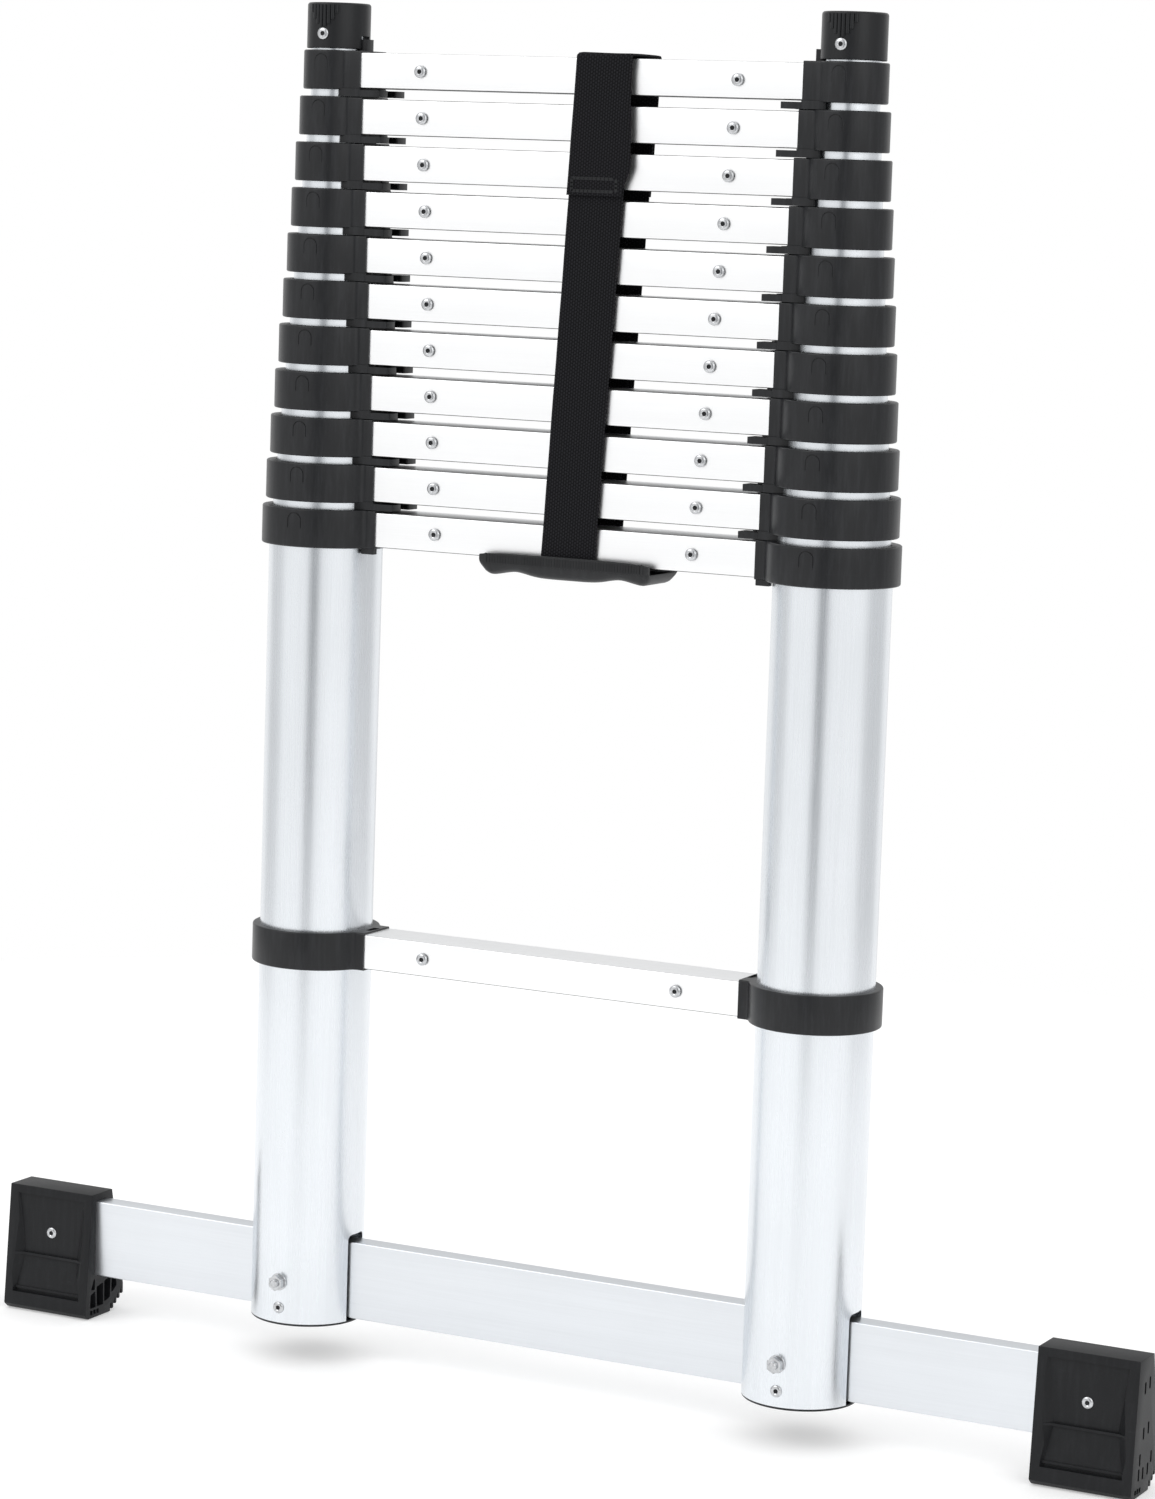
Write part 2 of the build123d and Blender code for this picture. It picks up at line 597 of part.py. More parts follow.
def make_bolts():
    """Bolts that pin the bar in the tubes, each with its head behind and its nut in front."""
    front = Plane(origin=(STILE_X, -BASE_TUBE_RADIUS, BAR_CENTRE_Z), z_dir=(0, -1, 0))
    back = Plane(origin=(STILE_X, BASE_TUBE_RADIUS, BAR_CENTRE_Z), z_dir=(0, 1, 0))
    with BuildPart() as bolts:
        for side, height in ((front, NUT_HEIGHT), (back, BOLT_HEAD_HEIGHT)):
            with BuildSketch(side):
                Circle(WASHER_RADIUS)
            extrude(amount=WASHER_HEIGHT)
            with BuildSketch(side.offset(WASHER_HEIGHT)):
                RegularPolygon(NUT_FLATS / 2, 6, major_radius=False)
            extrude(amount=height)
        with BuildSketch(back):
            Circle(BOLT_RADIUS)
        extrude(amount=-2 * BASE_TUBE_RADIUS - WASHER_HEIGHT - NUT_HEIGHT - BOLT_TAIL)
        mirror(about=Plane.YZ)
    return bolts.part


def make_button():
    """Right release button: the pad under the collar and the stem that rises beside the pin."""
    pad_bottom = BASE_RUNG_Z - HALF_RUNG - BUTTON_PROUD
    with BuildPart() as button:
        with BuildSketch(Plane.XY.offset(pad_bottom)):
            with Locations((button_x(), button_y())):
                Rectangle(BUTTON_LENGTH, BUTTON_DEPTH)
        extrude(amount=BUTTON_HEIGHT)
        fillet(button.faces().sort_by(Axis.Z)[0].edges(), radius=COLLAR_EDGE / 2)
        with BuildSketch(Plane.XY.offset(pad_bottom + BUTTON_HEIGHT)):
            with Locations((button_x(), button_y())):
                Rectangle(STEM_LENGTH, STEM_DEPTH)
        extrude(amount=STEM_HEIGHT)
    return button.part


def make_caps():
    """End caps over the tops of the innermost tubes, notched for the top collar's wedge."""
    inner = tube_radius(SLIDING_SECTIONS)
    outer = inner + CAP_WALL
    bottom = TOP_RUNG_Z + HALF_RUNG + CAP_SEAT_GAP
    with BuildPart() as caps:
        with BuildSketch(Plane.XY.offset(bottom)):
            with Locations((STILE_X, 0)):
                Circle(outer)
        extrude(amount=CAP_HEIGHT)
        fillet(caps.edges().group_by(Axis.Z)[-1], radius=CAP_EDGE)
        with BuildSketch(Plane.XY.offset(bottom)):
            with Locations((STILE_X, 0)):
                Circle(inner)
        extrude(amount=CAP_HEIGHT - CAP_TOP_WALL, mode=Mode.SUBTRACT)
        with BuildSketch(Plane.XY.offset(bottom)):
            with Locations((STILE_X - outer, 0)):
                Rectangle(2 * CAP_WALL, WEDGE_WIDTH + 2 * WEDGE_CLEARANCE)
        extrude(amount=CAP_NOTCH_HEIGHT, mode=Mode.SUBTRACT)
        with BuildSketch(Plane.XZ):
            with Locations((STILE_X, cap_rivet_z())):
                Circle(RIVET_BODY_RADIUS + RIVET_FIT)
        extrude(amount=outer, mode=Mode.SUBTRACT)
        mirror(about=Plane.YZ)
    return caps.part


def strap_x(height):
    """Middle of the leaning strap at a height."""
    share = (height - BASE_RUNG_Z) / (TOP_RUNG_Z - BASE_RUNG_Z)
    return STRAP_BOTTOM_X + STRAP_LEAN * share


def strap_leaf(inner_y, low, high, extra_width=0.0):
    """Leaning strip of webbing in front of the rungs (inner_y below 0) or behind them."""
    half = (STRAP_WIDTH + extra_width) / 2
    corners = [(-half, low), (half, low), (half, high), (-half, high)]
    with BuildPart() as leaf:
        with BuildSketch(Plane.XZ.offset(-inner_y)):
            with BuildLine():
                Polyline(*[(strap_x(z) + x, z) for x, z in corners], close=True)
            make_face()
        extrude(amount=math.copysign(STRAP_THICKNESS, -inner_y))
    return leaf.part


def strap_lap_y():
    """Inner face of the upper strap, which lies outside the lower one."""
    return RUNG_DEPTH / 2 + STRAP_THICKNESS + 2 * STRAP_CLEARANCE


def make_upper_strap():
    """The strap's part over the top rung, with the flap that closes on the lower part."""
    top = TOP_RUNG_Z + HALF_RUNG + STRAP_CLEARANCE
    seam = top - FLAP_LENGTH
    inner = strap_lap_y()
    with BuildPart() as strap:
        add(strap_leaf(-inner, seam, top + STRAP_THICKNESS, FLAP_EXTRA_WIDTH))
        add(strap_leaf(inner, seam, top + STRAP_THICKNESS))
        with BuildSketch(Plane.XY.offset(top)):
            with Locations((strap_x(top), 0)):
                Rectangle(STRAP_WIDTH, 2 * (inner + STRAP_THICKNESS / 2))
        extrude(amount=STRAP_THICKNESS)
    return strap.part


def make_lower_strap():
    """The strap's part from behind the flap, down through the handle and up the back."""
    bottom = BASE_RUNG_Z - HALF_RUNG - STRAP_CLEARANCE - STRAP_THICKNESS
    seam = TOP_RUNG_Z + HALF_RUNG + STRAP_CLEARANCE - FLAP_LENGTH + FLAP_LAP
    inner = RUNG_DEPTH / 2 + STRAP_CLEARANCE
    with BuildPart() as strap:
        add(strap_leaf(-inner, bottom, seam))
        add(strap_leaf(inner, bottom, seam))
        with BuildSketch(Plane.XY.offset(bottom)):
            with Locations((strap_x(bottom), 0)):
                Rectangle(STRAP_WIDTH, 2 * (inner + STRAP_THICKNESS / 2))
        extrude(amount=STRAP_THICKNESS)
    return strap.part


def make_handle():
    """Moulded carry handle: a trough round the strap and the base rung, with finger hollows."""
    inner = strap_lap_y()
    outer = inner + HANDLE_WALL
    rung_bottom = BASE_RUNG_Z - HALF_RUNG
    floor = rung_bottom - STRAP_THICKNESS - 2 * STRAP_CLEARANCE
    grip_bottom = floor - HANDLE_GRIP
    with BuildPart() as handle:
        with BuildSketch(Plane.YZ.offset(HANDLE_X - HANDLE_LENGTH / 2)):
            with Locations((0, (grip_bottom + rung_bottom + HANDLE_LIP) / 2)):
                Rectangle(2 * outer, rung_bottom + HANDLE_LIP - grip_bottom)
        extrude(amount=HANDLE_LENGTH)
        fillet(handle.edges().filter_by(Axis.X).group_by(Axis.Z)[0], radius=HANDLE_GRIP)
        with BuildSketch(Plane.YZ.offset(HANDLE_X - HANDLE_LENGTH / 2)):
            with Locations((0, floor + HANDLE_LENGTH / 2)):
                Rectangle(2 * inner, HANDLE_LENGTH)
        extrude(amount=HANDLE_LENGTH, mode=Mode.SUBTRACT)
        # finger hollows across the grip's underside
        with BuildSketch(Plane.XZ):
            hollow_z = grip_bottom + FINGER_DEPTH - FINGER_RADIUS
            with Locations(
                (HANDLE_X - FINGER_PITCH / 2, hollow_z),
                (HANDLE_X + FINGER_PITCH / 2, hollow_z),
            ):
                Circle(FINGER_RADIUS)
        extrude(amount=outer, both=True, mode=Mode.SUBTRACT)
    return handle.part


os.makedirs("parts", exist_ok=True)

base_tube = make_base_tube()
with BuildPart() as base_tube_left:
    mirror(base_tube, about=Plane.YZ)
export(base_tube, "base_tube_right")
export(base_tube_left.part, "base_tube_left")
export(make_tube_plugs(), "tube_plugs")
export(make_bar(), "stabiliser_bar")
export(make_bolts(), "stabiliser_bolts")
foot = make_foot()
with BuildPart() as foot_left:
    mirror(foot, about=Plane.YZ)
export(foot, "foot_right")
export(foot_left.part, "foot_left")
export(make_rung(0, MIDDLE_RUNG_Z), "middle_rung")
export(make_collars(0, MIDDLE_RUNG_Z), "middle_collars")
export(make_base_rivets(), "base_rivets")
export(make_rung(0, BASE_RUNG_Z), "base_rung")
export(make_collars(0, BASE_RUNG_Z, topped=True, locking=True, button=True), "base_collars")
export(make_fittings(0), "base_fittings")
button = make_button()
with BuildPart() as button_left:
    mirror(button, about=Plane.YZ)
export(button, "release_button_right")
export(button_left.part, "release_button_left")
for section in range(1, SLIDING_SECTIONS + 1):
    name = f"section_{section:02d}"
    locking = section < SLIDING_SECTIONS
    export(make_tubes(section), f"{name}_tubes")
    export(make_rung(section, rung_z(section)), f"{name}_rung")
    collars = make_collars(section, rung_z(section), stacked=True, topped=True, locking=locking)
    export(collars, f"{name}_collars")
    export(make_fittings(section), f"{name}_fittings")
export(make_caps(), "end_caps")
export(make_upper_strap(), "strap_upper")
export(make_lower_strap(), "strap_lower")
export(make_handle(), "carry_handle")
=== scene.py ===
import json
import logging
import math
from dataclasses import dataclass, field
from enum import Enum
from typing import Any, Callable, Iterable, Optional, Sequence

import bmesh
import bpy
from mathutils import Matrix, Vector
from mathutils.geometry import tessellate_polygon


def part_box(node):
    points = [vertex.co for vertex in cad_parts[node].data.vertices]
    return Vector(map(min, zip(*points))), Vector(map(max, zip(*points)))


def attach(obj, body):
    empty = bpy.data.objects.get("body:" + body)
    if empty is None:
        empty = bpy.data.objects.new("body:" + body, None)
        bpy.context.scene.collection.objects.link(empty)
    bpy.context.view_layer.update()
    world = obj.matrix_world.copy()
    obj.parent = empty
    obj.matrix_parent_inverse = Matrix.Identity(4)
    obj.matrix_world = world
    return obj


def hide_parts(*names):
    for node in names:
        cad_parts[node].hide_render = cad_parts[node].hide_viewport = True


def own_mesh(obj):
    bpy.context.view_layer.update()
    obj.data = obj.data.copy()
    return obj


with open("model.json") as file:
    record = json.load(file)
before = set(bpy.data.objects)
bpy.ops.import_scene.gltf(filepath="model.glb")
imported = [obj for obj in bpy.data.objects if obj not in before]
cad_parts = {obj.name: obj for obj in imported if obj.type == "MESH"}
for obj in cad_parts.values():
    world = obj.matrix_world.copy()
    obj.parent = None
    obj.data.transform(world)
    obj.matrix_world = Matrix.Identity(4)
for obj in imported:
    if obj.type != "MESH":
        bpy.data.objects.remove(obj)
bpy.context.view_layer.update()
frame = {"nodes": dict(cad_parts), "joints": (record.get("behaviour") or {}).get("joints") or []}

# A telescopic ladder, collapsed. Shapes are worked out in millimetres and written in metres.

MM = 0.001
SECTIONS = 10
FRONT = -1.0
BACK = 1.0
LEFT = -1.0
RIGHT = 1.0
SMOOTH_BELOW = math.radians(32)

log = logging.getLogger("ladder")

Point = tuple[float, float, float]
Flat = tuple[float, float]


class Axis(Enum):
    """The direction along which a finish is brushed or drawn."""

    X = (0.02, 1.0, 1.0)
    Z = (1.0, 1.0, 0.02)


# ---- shapes ----------------------------------------------------------------------------------


def turn(point: Point, degrees: float) -> Point:
    """Turns a point about the Z axis.

    Args:
        point: The point.
        degrees: The angle, anticlockwise from above.

    Returns:
        The turned point.
    """
    c, s = math.cos(math.radians(degrees)), math.sin(math.radians(degrees))
    return (point[0] * c - point[1] * s, point[0] * s + point[1] * c, point[2])


def rounded(corners: Sequence[Flat], radius: float, steps: int = 4) -> list[Flat]:
    """Rounds every corner of a closed outline.

    Args:
        corners: The sharp corners in order.
        radius: The radius of each rounding.
        steps: The number of facets in each rounding.

    Returns:
        The points of the rounded outline.
    """
    points: list[Flat] = []
    for index, corner in enumerate(corners):
        here = Vector(corner)
        before = (Vector(corners[index - 1]) - here).normalized()
        after = (Vector(corners[(index + 1) % len(corners)]) - here).normalized()
        half = math.acos(max(-1.0, min(1.0, before.dot(after)))) / 2
        middle = here + (before + after).normalized() * radius / math.sin(half)
        first = here + before * radius / math.tan(half) - middle
        last = here + after * radius / math.tan(half) - middle
        for step in range(steps + 1):
            arm = first.slerp(last, step / steps) if steps else first
            points.append(tuple(middle + arm))
    return points


def rectangle(width: float, height: float, centre: Flat = (0.0, 0.0)) -> list[Flat]:
    """The corners of an upright rectangle, anticlockwise."""
    x, y = centre
    w, h = width / 2, height / 2
    return [(x - w, y - h), (x + w, y - h), (x + w, y + h), (x - w, y + h)]


def circle(radius: float, count: int, centre: Flat = (0.0, 0.0)) -> list[Flat]:
    """Evenly spaced points on a circle, anticlockwise."""
    step = 2 * math.pi / count
    return [
        (centre[0] + radius * math.cos(k * step), centre[1] + radius * math.sin(k * step))
        for k in range(count)
    ]


class Solid:
    """The points and faces of a piece while it is being shaped, in millimetres."""

    def __init__(self) -> None:
        """Starts with nothing."""
        self.points: list[Point] = []
        self.faces: list[tuple[int, ...]] = []

    def add(self, other: "Solid") -> "Solid":
        """Takes in another solid's points and faces."""
        start = len(self.points)
        self.points.extend(other.points)
        self.faces.extend(tuple(start + k for k in face) for face in other.faces)
        return self

    def loft(
        self, rings: Sequence[Sequence[Point]], looped: bool = False, capped: bool = True
    ) -> "Solid":
        """Joins rings that have equally many points.

        Args:
            rings: The rings in order.
            looped: Whether the last ring joins the first.
            capped: Whether the first and last rings are closed by a face.

        Returns:
            This solid.
        """
        start, count = len(self.points), len(rings[0])
        for ring in rings:
            self.points.extend(tuple(p) for p in ring)
        for index in range(len(rings) if looped else len(rings) - 1):
            a = start + index * count
            b = start + (index + 1) % len(rings) * count
            for k in range(count):
                n = (k + 1) % count
                self.faces.append((a + k, a + n, b + n, b + k))
        if capped and not looped:
            last = start + (len(rings) - 1) * count
            self.faces.append(tuple(start + k for k in reversed(range(count))))
            self.faces.append(tuple(last + k for k in range(count)))
        return self

    def revolve(
        self,
        profile: Sequence[Flat],
        origin: Point,
        axis: Point = (0.0, 0.0, 1.0),
        segments: int = 32,
        looped: bool = False,
    ) -> "Solid":
        """Turns a profile of (radius, height) about an axis.

        Args:
            profile: The radius and the height of each point.
            origin: Where the height is nothing.
            axis: The direction of the height.
            segments: The number of steps round.
            looped: Whether the profile is a closed outline.

        Returns:
            This solid.
        """
        z = Vector(axis).normalized()
        x = z.orthogonal().normalized()
        y = z.cross(x)
        rings = []
        for radius, height in profile:
            rings.append(
                [tuple(Vector(origin) + x * a + y * b + z * height)
                 for a, b in circle(radius, segments)]
            )
        return self.loft(rings, looped=looped)

    def prism(self, outline: Sequence[Flat], place: Callable[[float, float, float], Point],
              low: float, high: float) -> "Solid":
        """Stretches an outline.

        Args:
            outline: The closed outline.
            place: Turns two outline values and a depth into a point.
            low: The first depth.
            high: The last depth.

        Returns:
            This solid.
        """
        rings = [[place(a, b, depth) for a, b in outline] for depth in (low, high)]
        return self.loft(rings)

    def block(self, low: Point, high: Point, edge: float, steps: int = 3) -> "Solid":
        """A box with rounded edges.

        Args:
            low: The lowest corner.
            high: The highest corner.
            edge: The radius of its edges.
            steps: The number of facets in each rounding.

        Returns:
            This solid.
        """
        centre = ((low[0] + high[0]) / 2, (low[1] + high[1]) / 2)
        rings = []
        levels = [math.pi / 2 * k / steps for k in range(steps + 1)]
        heights = [(low[2] + edge * (1 - math.sin(t)), edge * (1 - math.cos(t))) for t in reversed(levels)]
        heights += [(high[2] - edge * (1 - math.sin(t)), edge * (1 - math.cos(t))) for t in levels]
        for height, inset in heights:
            inset *= 0.98
            outline = rounded(
                rectangle(high[0] - low[0] - 2 * inset, high[1] - low[1] - 2 * inset, centre),
                max(edge - inset, 0.02 * edge),
                steps,
            )
            rings.append([(x, y, height) for x, y in outline])
        return self.loft(rings)

    def mirrored(self) -> "Solid":
        """A copy on the other side of the YZ plane."""
        copy = Solid()
        copy.points = [(-x, y, z) for x, y, z in self.points]
        copy.faces = [tuple(reversed(face)) for face in self.faces]
        return copy

    def both_sides(self) -> "Solid":
        """This solid and its mirror image."""
        return self.add(self.mirrored())


def mesh_object(name: str, solid: Solid, weld: bool = True) -> bpy.types.Object:
    """Turns a solid into a Blender object, with its faces outward and its hard edges sharp.

    Args:
        name: The object's name.
        solid: The shape in millimetres.
        weld: Whether points in one place become one.

    Returns:
        The object.
    """
    mesh = bpy.data.meshes.new(name)
    mesh.from_pydata([tuple(c * MM for c in point) for point in solid.points], [], solid.faces)
    work = bmesh.new()
    work.from_mesh(mesh)
    if weld:
        bmesh.ops.remove_doubles(work, verts=work.verts, dist=0.002 * MM)
    bmesh.ops.recalc_face_normals(work, faces=work.faces)
    work.to_mesh(mesh)
    work.free()
    obj = bpy.data.objects.new(name, mesh)
    bpy.context.scene.collection.objects.link(obj)
    soften(obj)
    return obj


def soften(obj: bpy.types.Object, angle: float = SMOOTH_BELOW) -> None:
    """Shades an object smooth, but for its edges that turn more than an angle."""
    obj.data.shade_smooth()
    obj.data.set_sharp_from_angle(angle=angle)


def settle(obj: bpy.types.Object) -> bpy.types.Object:
    """Turns an object with its modifiers into one plain mesh.

    Args:
        obj: The object.

    Returns:
        The same object, with no modifiers.
    """
    bpy.context.view_layer.update()
    graph = bpy.context.evaluated_depsgraph_get()
    mesh = bpy.data.meshes.new_from_object(
        obj.evaluated_get(graph), preserve_all_data_layers=True, depsgraph=graph
    )
    obj.modifiers.clear()
    obj.data = mesh
    mesh.name = obj.name
    return obj


def carve(obj: bpy.types.Object, cutter: Solid) -> bpy.types.Object:
    """Cuts a solid out of an object."""
    tool = mesh_object("cutter", cutter)
    cut = obj.modifiers.new("cut", "BOOLEAN")
    cut.operation = "DIFFERENCE"
    cut.solver = "EXACT"
    cut.object = tool
    settle(obj)
    bpy.data.objects.remove(tool)
    soften(obj)
    return obj


def ease_edges(obj: bpy.types.Object, width: float, steps: int = 2) -> bpy.types.Object:
    """Rounds an object's hard edges.

    Args:
        obj: The object.
        width: The width of each rounding in millimetres.
        steps: The number of facets in each.

    Returns:
        The object.
    """
    bevel = obj.modifiers.new("edges", "BEVEL")
    bevel.width = width * MM
    bevel.segments = steps
    bevel.limit_method = "ANGLE"
    bevel.angle_limit = SMOOTH_BELOW
    bevel.use_clamp_overlap = True
    settle(obj)
    soften(obj)
    return obj


def joined(name: str, parts: Sequence[bpy.types.Object]) -> bpy.types.Object:
    """Makes one object of several that are in place.

    Args:
        name: The new object's name.
        parts: The objects, which are used up.

    Returns:
        The new object.
    """
    work = bmesh.new()
    for part in parts:
        work.from_mesh(part.data)
    mesh = bpy.data.meshes.new(name)
    work.to_mesh(mesh)
    work.free()
    for part in parts:
        bpy.data.objects.remove(part)
    obj = bpy.data.objects.new(name, mesh)
    bpy.context.scene.collection.objects.link(obj)
    soften(obj)
    return obj


# ---- node trees ------------------------------------------------------------------------------


class Signal:
    """A shader socket that Python's own operators work on."""

    def __init__(self, graph: "ShaderGraph", socket: bpy.types.NodeSocket) -> None:
        """Wraps a socket of a graph."""
        self.graph = graph
        self.socket = socket

    def _math(self, operation: str, *values: Any) -> "Signal":
        """Adds a Math node.

        Args:
            operation: The node's operation.
            values: Its inputs in order.

        Returns:
            Its result.
        """
        inputs = dict(enumerate(values))
        return self.graph.add("ShaderNodeMath", {"operation": operation}, inputs)

    def __add__(self, other: Any) -> "Signal":
        """Sum."""
        return self._math("ADD", self, other)

    def __radd__(self, other: Any) -> "Signal":
        """Sum, with the number first."""
        return self._math("ADD", other, self)

    def __sub__(self, other: Any) -> "Signal":
        """Difference."""
        return self._math("SUBTRACT", self, other)

    def __rsub__(self, other: Any) -> "Signal":
        """Difference, with the number first."""
        return self._math("SUBTRACT", other, self)

    def __mul__(self, other: Any) -> "Signal":
        """Product."""
        return self._math("MULTIPLY", self, other)

    def __rmul__(self, other: Any) -> "Signal":
        """Product, with the number first."""
        return self._math("MULTIPLY", other, self)

    def __gt__(self, other: Any) -> "Signal":
        """One where this is greater."""
        return self._math("GREATER_THAN", self, other)

    def sine(self) -> "Signal":
        """Sine."""
        return self._math("SINE", self)

    def size(self) -> "Signal":
        """Value without its sign."""
        return self._math("ABSOLUTE", self)

    def floor(self) -> "Signal":
        """Whole number below."""
        return self._math("FLOOR", self)

    def over(self, low: float, high: float) -> "Signal":
        """Smooth step from 0 at low to 1 at high."""
        settings = {"interpolation_type": "SMOOTHSTEP"}
        inputs = {"Value": self, "From Min": low, "From Max": high}
        return self.graph.add("ShaderNodeMapRange", settings, inputs)


class ShaderGraph:
    """A material's node tree."""

    def __init__(self, owner: Any) -> None:
        """Starts an empty tree.

        Args:
            owner: A new material's name, or the world.
        """
        self.material = bpy.data.materials.new(owner) if isinstance(owner, str) else owner
        self.material.use_nodes = True
        self.tree = self.material.node_tree
        self.tree.nodes.clear()

    def make(self, kind: str, settings: Optional[dict] = None, inputs: Optional[dict] = None) -> Any:
        """Adds a node.

        Args:
            kind: The node's type.
            settings: Its properties, which are set first.
            inputs: The values or links of its sockets, by name or number.

        Returns:
            The node.
        """
        node = self.tree.nodes.new(kind)
        for key, value in (settings or {}).items():
            setattr(node, key, value)
        for key, value in (inputs or {}).items():
            if isinstance(value, Signal):
                self.tree.links.new(value.socket, node.inputs[key])
            else:
                node.inputs[key].default_value = value
        return node

    def add(self, kind: str, settings: Optional[dict] = None, inputs: Optional[dict] = None,
            output: Any = 0) -> Signal:
        """Adds a node and gives one of its outputs."""
        return Signal(self, self.make(kind, settings, inputs).outputs[output])

    def place(self, scale: Sequence[float] = (1.0, 1.0, 1.0)) -> Signal:
        """Object coordinates, stretched along the axes."""
        where = self.add("ShaderNodeTexCoord", output="Object")
        return self.add("ShaderNodeVectorMath", {"operation": "MULTIPLY"}, {0: where, 1: scale})

    def noise(self, where: Signal, scale: float, detail: float = 3.0, roughness: float = 0.5) -> Signal:
        """Noise from 0 to 1 with about scale bumps to the metre."""
        inputs = {"Vector": where, "Scale": scale, "Detail": detail, "Roughness": roughness}
        return self.add("ShaderNodeTexNoise", None, inputs, "Fac")

    def blend(self, share: Signal, first: Any, last: Any) -> Signal:
        """Mixes two colours, each of which is three numbers or a signal."""
        settings = {"data_type": "RGBA"}
        ends = [colour if isinstance(colour, Signal) else (*colour, 1.0) for colour in (first, last)]
        return self.add("ShaderNodeMix", settings, {0: share, 6: ends[0], 7: ends[1]}, 2)

    def bump(self, height: Signal, strength: float, distance: float) -> Signal:
        """The surface's normal, tilted by a height in metres times distance."""
        inputs = {"Strength": strength, "Distance": distance, "Height": height}
        return self.add("ShaderNodeBump", None, inputs, "Normal")

    def surface(self, **inputs: Any) -> bpy.types.Material:
        """Ends the tree in a surface.

        Args:
            inputs: The surface's sockets, with spaces written as underlines.

        Returns:
            The material.
        """
        named = {key.replace("_", " "): value for key, value in inputs.items()}
        shader = self.add("ShaderNodeBsdfPrincipled", None, named)
        self.make("ShaderNodeOutputMaterial", None, {"Surface": shader})
        return self.material


class GeometryTree:
    """A Geometry Nodes tree with named inputs, which ends in one realised mesh."""

    def __init__(self, name: str, inputs: dict[str, tuple[str, Any]]) -> None:
        """Starts a tree.

        Args:
            name: The tree's name.
            inputs: Each named input's socket type and first value.
        """
        self.tree = bpy.data.node_groups.new(name, "GeometryNodeTree")
        face = self.tree.interface
        face.new_socket("Geometry", in_out="INPUT", socket_type="NodeSocketGeometry")
        self.names: dict[str, str] = {}
        for label, (kind, value) in inputs.items():
            socket = face.new_socket(label, in_out="INPUT", socket_type=kind)
            if value is not None:
                socket.default_value = value
            self.names[label] = socket.identifier
        face.new_socket("Geometry", in_out="OUTPUT", socket_type="NodeSocketGeometry")
        self.inputs = self.tree.nodes.new("NodeGroupInput").outputs

    def add(self, kind: str, settings: Optional[dict] = None, inputs: Optional[dict] = None,
            output: Any = 0) -> bpy.types.NodeSocket:
        """Adds a node.

        Args:
            kind: The node's type.
            settings: Its properties, which are set first.
            inputs: The values or links of its sockets, by name or number.
            output: The output wanted.

        Returns:
            That output.
        """
        node = self.tree.nodes.new(kind)
        for key, value in (settings or {}).items():
            setattr(node, key, value)
        for key, value in (inputs or {}).items():
            if isinstance(value, bpy.types.NodeSocket):
                self.tree.links.new(value, node.inputs[key])
            else:
                node.inputs[key].default_value = value
        return node.outputs[output]

    def end(self, shape: bpy.types.NodeSocket) -> "GeometryTree":
        """Realises the instances, sets the material and ends the tree."""
        real = self.add("GeometryNodeRealizeInstances", None, {"Geometry": shape})
        dressed = self.add(
            "GeometryNodeSetMaterial", None, {"Geometry": real, "Material": self.inputs["Material"]}
        )
        out = self.tree.nodes.new("NodeGroupOutput")
        self.tree.links.new(dressed, out.inputs[0])
        return self

    def run(self, obj: bpy.types.Object, values: dict[str, Any]) -> bpy.types.Object:
        """Runs the tree on an object and leaves a plain mesh.

        Args:
            obj: The object that carries the points or the path.
            values: The value of each named input.

        Returns:
            The object, with no modifier.
        """
        step = obj.modifiers.new(self.tree.name, "NODES")
        step.node_group = self.tree
        for label, value in values.items():
            step[self.names[label]] = value
        return settle(obj)


def scatter_tree() -> GeometryTree:
    """Builds the tree that sets a small shape at each point of a mesh.

    Each point carries its "facing" direction, its "stretch" along the shape's own axes, and its
    "turn" about its own upright.

    Returns:
        The tree.
    """
    tree = GeometryTree(
        "set_at_points",
        {
            "Shape": ("NodeSocketObject", None),
            "Size": ("NodeSocketFloat", 1.0),
            "Most turn": ("NodeSocketFloat", 0.0),
            "Seed": ("NodeSocketInt", 7),
            "Material": ("NodeSocketMaterial", None),
        },
    )
    shape = tree.add("GeometryNodeObjectInfo", None, {"Object": tree.inputs["Shape"]}, "Geometry")
    vector = {"data_type": "FLOAT_VECTOR"}
    facing = tree.add("GeometryNodeInputNamedAttribute", vector, {"Name": "facing"})
    stretch = tree.add("GeometryNodeInputNamedAttribute", vector, {"Name": "stretch"})
    aligned = tree.add("FunctionNodeAlignRotationToVector", {"axis": "Z"}, {"Vector": facing})
    chance = tree.add(
        "FunctionNodeRandomValue",
        {"data_type": "FLOAT"},
        {2: 0.0, 3: tree.inputs["Most turn"], "Seed": tree.inputs["Seed"]},
        1,
    )
    turn_by = tree.add(
        "GeometryNodeInputNamedAttribute", {"data_type": "FLOAT"}, {"Name": "turn"}
    )
    angle = tree.add("ShaderNodeMath", {"operation": "ADD"}, {0: turn_by, 1: chance})
    spin = tree.add("FunctionNodeAxisAngleToRotation", None, {"Axis": (0, 0, 1), "Angle": angle})
    turned = tree.add(
        "FunctionNodeRotateRotation",
        {"rotation_space": "LOCAL"},
        {"Rotation": aligned, "Rotate By": spin},
    )
    size = tree.add(
        "ShaderNodeVectorMath", {"operation": "SCALE"}, {0: stretch, "Scale": tree.inputs["Size"]}
    )
    placed = tree.add(
        "GeometryNodeInstanceOnPoints",
        None,
        {"Points": tree.inputs["Geometry"], "Instance": shape, "Rotation": turned, "Scale": size},
    )
    return tree.end(placed)


